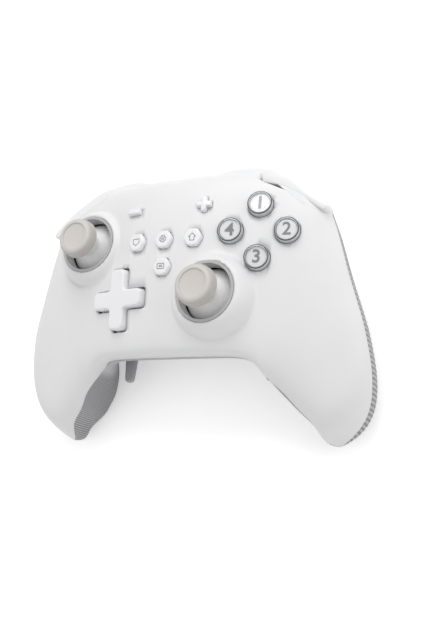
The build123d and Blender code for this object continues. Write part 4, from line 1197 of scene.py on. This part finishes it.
@dataclass(frozen=True)
class LatheProfile:
    """An outline turned about an upright axis, with an optional knurl on part of its height.

    The outline is pairs of a radius and a level, in order.
    """

    points: tuple[tuple[float, float], ...]
    segments: int = 192
    knurls: int = 0
    knurl_span: tuple[float, float] = (0.0, 0.0)
    knurl_pitch: float = 0.8
    knurl_depth: float = 0.0
    knurl_steps: int = 6

    def rows(self) -> list[tuple[float, float]]:
        """The outline with extra points on the knurled part."""
        rows: list[tuple[float, float]] = [self.points[0]]
        for start, end in zip(self.points, self.points[1:]):
            middle = (start[1] + end[1]) / 2
            inside = self.knurls and self.knurl_span[0] <= middle <= self.knurl_span[1]
            turns = abs(end[1] - start[1]) / self.knurl_pitch
            steps = max(1, round(turns * self.knurl_steps)) if inside else 1
            for step in range(1, steps + 1):
                part = step / steps
                rows.append(tuple(low + (high - low) * part for low, high in zip(start, end)))
        return rows

    def radius(self, radius: float, level: float, angle: float, turn: int) -> float:
        """Radius of the turned form at a level and an angle."""
        low, high = self.knurl_span
        if not self.knurls or not low < level < high:
            return radius
        lift = math.cos(self.knurls * angle + math.pi * (turn % 2)) * 0.5 + 0.5
        fade = min((level - low) / self.knurl_pitch, (high - level) / self.knurl_pitch, 1.0)
        wave = 0.5 - 0.5 * math.cos(math.tau * (level - low) / self.knurl_pitch)
        return radius - self.knurl_depth * fade * (1.0 - lift * wave)

    def build(self, name: str, place: Matrix) -> bpy.types.Object:
        """Turn the outline into a closed mesh.

        Args:
            name: Name of the object.
            place: A matrix in millimetres that carries it to its place.

        Returns:
            The turned piece.
        """
        made = bmesh.new()
        rows = []
        for radius, level in self.rows():
            if radius < 1e-6:
                rows.append([made.verts.new((0, 0, level))] * self.segments)
                continue
            turn = int((level - self.knurl_span[0]) / self.knurl_pitch) if self.knurls else 0
            ring = []
            for count in range(self.segments):
                angle = math.tau * count / self.segments
                here = self.radius(radius, level, angle, turn)
                ring.append(made.verts.new((here * math.cos(angle), here * math.sin(angle), level)))
            rows.append(ring)
        for low, high in zip(rows, rows[1:]):
            for count in range(self.segments):
                after = (count + 1) % self.segments
                corners = []
                for vert in (low[count], low[after], high[after], high[count]):
                    if vert not in corners:
                        corners.append(vert)
                if len(corners) > 2:
                    made.faces.new(corners)
        bmesh.ops.transform(made, matrix=Matrix.Scale(MM, 4) @ place, verts=made.verts)
        return object_from_bmesh(made, name)


class ThumbStick:
    """The rubber cap of one thumb stick."""

    CAP = LatheProfile(
        (
            (0.0, 22.0), (2.0, 22.02), (3.6, 22.1), (4.7, 22.24), (5.15, 22.36), (5.3, 22.42),
            (5.4, 22.62), (5.5, 22.74), (5.7, 22.8), (6.1, 22.77), (6.6, 22.62), (7.1, 22.3),
            (7.5, 21.85), (7.8, 21.3), (7.95, 20.8), (8.0, 20.4), (8.0, 18.35), (7.9, 18.2),
            (7.6, 17.95), (6.6, 17.25), (6.2, 17.0), (5.9, 16.95), (3.8, 16.95), (0.0, 16.95),
        ),
        segments=384, knurls=64, knurl_span=(18.3, 21.6), knurl_pitch=0.66, knurl_depth=0.13,
    )
    PIVOT_DEPTH = 8.5

    def __init__(self, side: str, place: tuple[float, float], hull: HullShape) -> None:
        """Name the stick and find its pivot.

        Args:
            side: left or right.
            place: Its place from the middle plane and the datum line.
            hull: The housing's form.
        """
        self.side = side
        x, y = place[0], hull.datum_y + place[1]
        self.place = Matrix.Translation((x, y, hull.face(x, y) - self.PIVOT_DEPTH))

    def build(self, palette: Palette) -> None:
        """Make the cap and hand it to the stick's body."""
        side = self.side
        cap = self.CAP.build(f"{side}_rubber_cap", self.place)
        attach(cap, f"{side}_stick_top", "cap_rubber", palette.get("rubber"), f"{side}_stick_cap")


@dataclass(frozen=True)
class LayeredForm:
    """A button-like form: one outline stacked in layers, each grown or shrunk a little.

    The layers are pairs of a growth and a level, from below.
    """

    layers: tuple[tuple[float, float], ...]

    def build(
        self, name: str, outline: Sequence[tuple[float, float]], place: Matrix,
    ) -> bpy.types.Object:
        """Stack the layers and close both ends.

        Args:
            name: Name of the object.
            outline: Plan in millimetres.
            place: A matrix in millimetres that carries it to its place.

        Returns:
            The piece.
        """
        made = bmesh.new()
        rows = []
        for grow, level in self.layers:
            rows.append([made.verts.new((x, y, level)) for x, y in grown(outline, grow)])
        for low, high in zip(rows, rows[1:]):
            for count in range(len(low)):
                after = (count + 1) % len(low)
                made.faces.new((low[count], low[after], high[after], high[count]))
        ends = [made.faces.new(rows[0][::-1]), made.faces.new(rows[-1])]
        made.normal_update()
        bmesh.ops.triangulate(made, faces=ends, ngon_method="EAR_CLIP")
        bmesh.ops.transform(made, matrix=Matrix.Scale(MM, 4) @ place, verts=made.verts)
        return object_from_bmesh(made, name, SHARP_KEY)


def stud(node: str, plane: Matrix, radius: float = 1.5, start: float = -3.0) -> bpy.types.Object:
    """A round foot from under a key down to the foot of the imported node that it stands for.

    Args:
        node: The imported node.
        plane: Matrix in millimetres of the key's place on the face.
        radius: Radius of the foot.
        start: Level of its upper end over the face.

    Returns:
        The foot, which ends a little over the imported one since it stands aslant.
    """
    drop = (plane.translation.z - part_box(node)[0][2] / MM) / plane.col[2].z
    return prism(f"{node}_foot", ring_points(radius, 32), -drop + radius * 0.3, start, plane)


def joined(main: bpy.types.Object, *others: bpy.types.Object) -> bpy.types.Object:
    """Join meshes into the first object.

    Args:
        main: The object that stays.
        others: The objects that go into it.

    Returns:
        The first object.
    """
    made = bmesh.new()
    made.from_mesh(main.data)
    for other in others:
        made.from_mesh(other.data)
        bpy.data.objects.remove(other)
    made.to_mesh(main.data)
    made.free()
    return main


class CrossPad:
    """The one-piece cross pad: tapered arms with rounded ends and a soft rim."""

    FORM = LayeredForm((
        (1.3, -4.35), (1.3, -3.75), (1.25, -3.7), (0.14, -3.7), (0.12, -3.5), (0.1, 0.0),
        (0.06, 0.8), (0.0, 1.3), (-0.06, 1.65), (-0.18, 1.93), (-0.36, 2.13), (-0.6, 2.25),
        (-0.9, 2.3), (-1.3, 2.29),
    ))
    HUB = LatheProfile(
        ((0.0, -4.2), (2.9, -4.2), (2.9, -4.8), (3.2, -4.8), (3.2, -8.0), (0.0, -8.0)), segments=48,
    )
    # Half length, half width, corners and hollows of the arms; place, radius and levels of the feet
    ARMS = (12.1, 3.55, 2.5, 1.6)
    FOOT_PLACE = 10.6
    FOOT_RADIUS = 1.7
    FOOT_SPAN = (-10.0, -4.2)

    def __init__(self, skin: FrontSkin) -> None:
        """Keep the skin that the pad stands on."""
        self.skin = skin

    def build(self, palette: Palette) -> None:
        """Make the pad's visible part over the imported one."""
        place = self.skin.plane(*self.skin.layout.pad)
        pad = self.FORM.build("cross_pad_top", cross_points(*self.ARMS), place)
        ring, far = ring_points(self.FOOT_RADIUS, 24), self.FOOT_PLACE
        feet = [
            prism("pad_foot", ring, *self.FOOT_SPAN, place @ Matrix.Translation((x, y, 0)))
            for x, y in ((far, 0), (-far, 0), (0, far), (0, -far))
        ]
        joined(pad, self.HUB.build("pad_hub", place), *feet)
        attach(pad, "dpad", "pad_white", palette.get("pad"), "dpad")


class Paddle:
    """A rear paddle: a flat tongue with a rounded tip on a round barrel."""

    FORM = LayeredForm((
        (-0.9, 11.3), (-0.35, 11.42), (-0.08, 11.75), (0.0, 12.2),
        (0.0, 12.8), (-0.08, 13.25), (-0.35, 13.58), (-0.9, 13.7),
    ))
    PLAN = ((-2.9, 4.0), (-2.9, -17.0), (-1.9, -28.2), (1.9, -28.2), (2.9, -17.0), (2.9, 4.0))
    CURVES = (0.4, 7.0, 1.85, 1.85, 7.0, 0.4)
    X = 32.7
    BARREL = (3.7, 12.5)
    BARREL_RADIUS = 1.9
    BARREL_HALF = 4.7

    def build(self, side: str, palette: Palette) -> None:
        """Make one paddle.

        Args:
            side: left or right.
            palette: The finishes.
        """
        hand = hand_of(side)
        place = Matrix.Translation((hand * self.X, 0, 0))
        outline = round_polygon(self.PLAN, self.CURVES, 8)
        tongue = self.FORM.build(f"{side}_paddle_tongue", outline, place)
        axle = Matrix.Translation((hand * self.X, *self.BARREL))
        axle = axle @ Matrix.Rotation(math.pi / 2, 4, "Y")
        ring = ring_points(self.BARREL_RADIUS, 48)
        joined(tongue, prism("barrel", ring, -self.BARREL_HALF, self.BARREL_HALF, axle))
        attach(tongue, f"{side}_paddle", "trigger_grey", palette.get("paddle"), f"{side}_paddle")


class Bumper:
    """A shoulder button: a curved bar with soft rims and rounded ends, on a round pin."""

    FORM = LayeredForm((
        (-1.0, -17.2), (-0.6, -17.16), (-0.28, -17.0), (-0.08, -16.75), (0.0, -16.4), (0.0, -10.4),
        (-0.08, -10.0), (-0.28, -9.72), (-0.6, -9.55), (-1.0, -9.5),
    ))
    CURVES = (1.4, 3.8, 3.8, 3.8, 3.2, 2.8, 2.4, 1.6, 1.15, 1.15, 3.5, 3.5, 4.2, 4.2, 1.4)
    PIN_RADIUS = 1.0
    PIN_SPAN = (-18.65, -8.05)

    def build(self, side: str, level: float, palette: Palette) -> None:
        """Make one bumper.

        Args:
            side: left or right.
            level: Level of the face's highest point.
            palette: The finishes.
        """
        hand = hand_of(side)
        plan = BumperPlan()
        outline = [(hand * x, y) for x, y in round_polygon(plan.points(), self.CURVES, 8)]
        place = Matrix.Translation((0, 0, level))
        bar = self.FORM.build(f"{side}_bumper_bar", outline if hand < 0 else outline[::-1], place)
        axle = Matrix.Translation((hand * plan.pivot[0], plan.hull.datum_y + plan.pivot[1], level))
        joined(bar, prism("pin", ring_points(self.PIN_RADIUS, 32), *self.PIN_SPAN, axle))
        attach(bar, f"{side}_bumper", "bumper_pale", palette.get("bumper"), f"{side}_bumper")


class LegendStyle(Enum):
    """What a button's legend shows."""

    NUMBER = "number"
    POCKET = "pocket"
    COG = "cog"
    HOUSE = "house"
    SCREEN = "screen"


# Closed lines of the pictograms: corners as shares of half their size, and the corners' curve
PICTOGRAMS = {
    LegendStyle.POCKET: ((((1, .8), (-1, .8), (-1, -.3), (0, -1), (1, -.3)), .25),),
    LegendStyle.HOUSE: ((((1, 0), (0, 1), (-1, 0), (-.6, 0), (-.6, -1), (.6, -1), (.6, 0)), .12),),
    LegendStyle.SCREEN: (
        (((1, .7), (-1, .7), (-1, -.7), (1, -.7)), .3),
        (((.4, .2), (-.4, .2), (-.4, -.2), (.4, -.2)), .1),
    ),
}


@dataclass(frozen=True)
class Legend:
    """A thin raised legend on top of a button."""

    style: LegendStyle
    text: str = ""
    size: float = 5.2
    rise: float = 0.06
    line: float = 0.36
    weight: float = 0.12
    teeth: int = 8
    tooth_root: float = 0.72
    cog_bore: float = 0.3

    def outline(self) -> list[list[tuple[float, float]]]:
        """Closed lines of the pictogram in millimetres, as strokes round the middle.

        Returns:
            The lines, each as its points in order.
        """
        half = self.size / 2
        if self.style in PICTOGRAMS:
            return [
                round_polygon([(half * x, half * y) for x, y in corners], curve)
                for corners, curve in PICTOGRAMS[self.style]
            ]
        cog = []
        for count in range(4 * self.teeth):
            radius = half * (1.0 if count % 4 in (1, 2) else self.tooth_root)
            angle = math.tau * count / (4 * self.teeth)
            cog.append((radius * math.cos(angle), radius * math.sin(angle)))
        return [cog, ring_points(half * self.cog_bore, 20)]

    def build(self, name: str, place: Matrix) -> bpy.types.Object:
        """Make the legend as a mesh.

        Args:
            name: Name of the object.
            place: Matrix in millimetres of the button's top.

        Returns:
            The legend.
        """
        if self.style is LegendStyle.NUMBER:
            curve = bpy.data.curves.new(name, "FONT")
            curve.body = self.text
            curve.size = self.size
            curve.align_x = "CENTER"
            curve.align_y = "CENTER"
            curve.extrude = self.rise
            curve.offset = self.weight
        else:
            curve = bpy.data.curves.new(name, "CURVE")
            curve.dimensions = "3D"
            curve.bevel_depth = self.line / 2
            curve.bevel_resolution = 2
            for points in self.outline():
                spline = curve.splines.new("POLY")
                spline.points.add(len(points) - 1)
                for point, (x, y) in zip(spline.points, points):
                    point.co = (x, y, 0.0, 1.0)
                spline.use_cyclic_u = True
        drawn = object_from(curve, name + "_line")
        graph = bpy.context.evaluated_depsgraph_get()
        mesh = bpy.data.meshes.new_from_object(drawn.evaluated_get(graph))
        bpy.data.objects.remove(drawn)
        if self.style is not LegendStyle.NUMBER:
            mesh.transform(Matrix.Diagonal((1, 1, self.rise / self.line * 2, 1)))
        mesh.transform(Matrix.Scale(MM, 4) @ place)
        return object_from(mesh, name)


class FaceButtons:
    """Numbers on the round face buttons, under clear tops with a pale wall and a dark rim."""

    NAMES = ("top", "right", "bottom", "left")
    NUMBER_SIZE = 7.0
    LENS = LatheProfile(
        ((0.0, 2.7), (2.5, 2.7), (4.0, 2.68), (4.06, 2.66), (4.06, 2.1), (0.0, 2.08)), segments=128,
    )
    WALL = LatheProfile(
        (
            (4.06, 2.66), (4.3, 2.64), (4.55, 2.53), (4.72, 2.36), (4.82, 2.15), (4.85, 1.9),
            (4.85, -2.5), (5.65, -2.5), (5.65, -3.4), (3.9, -3.4), (3.9, 1.8), (4.06, 2.1),
            (4.06, 2.66),
        ),
        segments=128,
    )
    RIM = LatheProfile(
        (
            (4.3, 2.66), (4.42, 2.64), (4.58, 2.56), (4.72, 2.42), (4.5, 2.3), (4.3, 2.4),
            (4.3, 2.66),
        ),
        segments=128,
    )

    def __init__(self, skin: FrontSkin, height: float = 2.0) -> None:
        """Keep the skin that the buttons stand on.

        Args:
            skin: The front shell.
            height: Level of the cores' tops over the face.
        """
        self.skin = skin
        self.height = height

    def build(self, palette: Palette) -> None:
        """Put a plain number on each core and a clear lens round it."""
        for number, (side, spot) in enumerate(zip(self.NAMES, self.skin.layout.diamond), 1):
            body, plane = f"face_button_{side}", self.skin.plane(*spot)
            for name, form, finish, nodes in (
                ("shine", self.LENS, "lens", (f"{body}_lens",)),
                ("wall", self.WALL, "lens_wall", ()),
                ("rim", self.RIM, "lens_rim", ()),
            ):
                piece = form.build(f"{body}_{name}", plane)
                attach(piece, body, "lens_clear", palette.get(finish), *nodes)
            top = plane @ Matrix.Translation((0, 0, self.height))
            legend = Legend(LegendStyle.NUMBER, str(number), size=self.NUMBER_SIZE)
            attach(legend.build(f"{body}_number", top), body, "button_white", palette.get("ink"))


class SmallButtons:
    """The four six-sided keys with their pictograms, and the minus and plus keys."""

    NAMES = ("left_menu_button", "settings_button", "right_menu_button", "lower_menu_button")
    FORM = LayeredForm((
        (0.7, -3.3), (0.7, -2.55), (0.0, -2.55), (0.0, 1.25), (-0.05, 1.5),
        (-0.16, 1.7), (-0.34, 1.84), (-0.6, 1.9), (-1.0, 1.9), (-1.3, 1.87),
    ))
    SYMBOL_FORM = LayeredForm((
        (0.7, -3.3), (0.7, -2.55), (0.0, -2.55), (0.0, 1.6),
        (-0.04, 1.78), (-0.12, 1.92), (-0.26, 2.0),
    ))
    STYLES = (LegendStyle.POCKET, LegendStyle.COG, LegendStyle.HOUSE, LegendStyle.SCREEN)
    KEY_RADIUS = 3.9
    # Half length, half width and corner of the minus and plus keys, and the plus key's hollows
    SYMBOL = (2.9, 1.0, 0.5)
    HOLLOW = 0.25
    # How deep a pictogram lies in its key's top, so that it doesn't float
    SINK = 0.03

    def __init__(self, skin: FrontSkin, height: float = 1.9) -> None:
        """Keep the skin that the buttons stand on.

        Args:
            skin: The front shell.
            height: Level of the buttons' tops over the face.
        """
        self.skin = skin
        self.height = height

    def build(self, palette: Palette) -> None:
        """Make the visible keys with their pictograms, and the minus and plus keys."""
        layout = self.skin.layout
        outlines = (bar_points(*self.SYMBOL), cross_points(*self.SYMBOL, self.HOLLOW))
        for name, spot, outline in zip(("minus_button", "plus_button"), layout.symbols, outlines):
            plane = self.skin.plane(*spot)
            key = joined(self.SYMBOL_FORM.build(f"{name}_top", outline, plane), stud(name, plane))
            attach(key, name, "button_white", palette.get("button"), name)
        outline = hexagon_points(self.KEY_RADIUS)
        for name, style, spot in zip(self.NAMES, self.STYLES, layout.small):
            plane = self.skin.plane(*spot)
            key = joined(self.FORM.build(f"{name}_top", outline, plane), stud(name, plane))
            attach(key, name, "button_white", palette.get("button"), name)
            top = plane @ Matrix.Translation((0, 0, self.height - self.SINK))
            legend = Legend(style, size=2.9, rise=0.05, line=0.34).build(f"{name}_sign", top)
            attach(legend, name, "button_white", palette.get("ink"))


@dataclass(frozen=True)
class Studio:
    """The table, the soft lamps and the photograph's camera.

    The world and the lamps light the part at a plain level. The surround and the table are lifted
    to white only for the camera's own rays.
    """

    eye: tuple[float, float, float] = (163.06, -94.83, 310.25)
    view: tuple[float, float, float] = (-0.4552, 0.2700, -0.8485)
    upward: tuple[float, float, float] = (0.0468, 0.9589, 0.2800)
    lens: float = 48.13
    sensor: float = 36.0
    table_half: float = 2500.0
    white: str = "#ffffff"
    dust: str = "#fdfdfd"
    dust_size: float = 40.0
    table_roughness: float = 0.5
    table_lift: float = 0.34
    sky: float = 0.66
    # Names, places in millimetres and watts
    lamps: tuple[tuple[str, tuple[float, float, float], float], ...] = (
        ("key_lamp", (40.0, 470.0, 540.0), 2.0),
        ("side_lamp", (560.0, 90.0, 280.0), 0.55),
        ("fill_lamp", (-460.0, -240.0, 380.0), 0.3),
    )
    lamp_size: float = 420.0

    def build(self) -> None:
        """Make the floor, the sky, the lamps and the camera."""
        self.make_table()
        self.make_sky()
        for lamp in self.lamps:
            self.make_lamp(*lamp)
        self.make_camera()

    def make_table(self) -> None:
        """A white table under the part."""
        mesh = bpy.data.meshes.new("table")
        half = self.table_half * MM
        corners = [(-half, -half, 0), (half, -half, 0), (half, half, 0), (-half, half, 0)]
        mesh.from_pydata(corners, [], [(0, 1, 2, 3)])
        table = object_from(mesh, "table")
        make = Shader("white_table")
        dust = make.noise(self.dust_size)
        colour = make.mix(dust.outputs["Fac"], linear(self.white), linear(self.dust))
        lit = make.add("ShaderNodeBsdfDiffuse", Color=colour, Roughness=self.table_roughness)
        ray = make.add("ShaderNodeLightPath")
        seen = ray.outputs["Is Camera Ray"]
        lift = make.add("ShaderNodeMath", {"operation": "MULTIPLY"}, _0=seen, _1=self.table_lift)
        glow = make.add(
            "ShaderNodeEmission", Color=linear(self.white), Strength=lift.outputs["Value"],
        )
        mesh.materials.append(make.surface(make.add(
            "ShaderNodeAddShader", _0=lit.outputs["BSDF"], _1=glow.outputs["Emission"],
        ), "Shader"))

    def make_sky(self) -> None:
        """An even surround, plain for its light and white for the camera."""
        world = bpy.data.worlds.new("white_room")
        bpy.context.scene.world = world
        world.use_nodes = True
        tree = world.node_tree
        tree.nodes.clear()
        light = tree.nodes.new("ShaderNodeBackground")
        light.inputs["Color"].default_value = linear(self.white)
        ray = tree.nodes.new("ShaderNodeLightPath")
        seen = tree.nodes.new("ShaderNodeMapRange")
        seen.inputs["To Min"].default_value = self.sky
        seen.inputs["To Max"].default_value = 1.0
        tree.links.new(ray.outputs["Is Camera Ray"], seen.inputs["Value"])
        tree.links.new(seen.outputs["Result"], light.inputs["Strength"])
        end = tree.nodes.new("ShaderNodeOutputWorld")
        tree.links.new(light.outputs["Background"], end.inputs["Surface"])

    def make_lamp(self, name: str, place: tuple[float, float, float], watts: float) -> None:
        """Add a square lamp that looks at the part.

        Args:
            name: Name of the lamp.
            place: Its place in millimetres.
            watts: Its power.
        """
        light = bpy.data.lights.new(name, "AREA")
        light.shape = "SQUARE"
        light.size = self.lamp_size * MM
        light.energy = watts
        lamp = object_from(light, name)
        lamp.location = Vector(place) * MM
        lamp.rotation_euler = (-lamp.location).to_track_quat("-Z", "Y").to_euler()

    def make_camera(self) -> None:
        """The photograph's camera."""
        data = bpy.data.cameras.new("photo_camera")
        data.lens = self.lens
        data.sensor_width = self.sensor
        camera = object_from(data, "photo_camera")
        forward = Vector(self.view).normalized()
        up = Vector(self.upward).normalized()
        side = forward.cross(up).normalized()
        up = side.cross(forward)
        turn = Matrix((side, up, -forward)).transposed().to_4x4()
        camera.matrix_world = Matrix.Translation(Vector(self.eye) * MM) @ turn
        bpy.context.scene.camera = camera


def main() -> None:
    """Load the frame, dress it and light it."""
    logging.basicConfig(level=logging.INFO, format="%(name)s: %(message)s")
    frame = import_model()
    palette = Palette()
    for finish, names in NODE_FINISHES.items():
        for name in names:
            dress(frame["nodes"][name], palette.get(finish))
            LOG.info("dressed %s in %s", name, finish)
    hull, layout = HullShape(), ControlLayout()
    skin = FrontSkin(hull, layout, CollarShape())
    skin.build(palette.get("shell"))
    for side in ("left", "right"):
        GripCover().build(skin.rows, side, palette.get("grip"))
        Paddle().build(side, palette)
        Bumper().build(side, hull.level, palette)
    for side, place in zip(("left", "right"), layout.sticks):
        ThumbStick(side, place, hull).build(palette)
    CrossPad(skin).build(palette)
    FaceButtons(skin).build(palette)
    SmallButtons(skin).build(palette)
    Studio().build()
    bpy.context.scene.view_settings.view_transform = "Standard"
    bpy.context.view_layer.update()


if __name__ == "__main__":
    main()
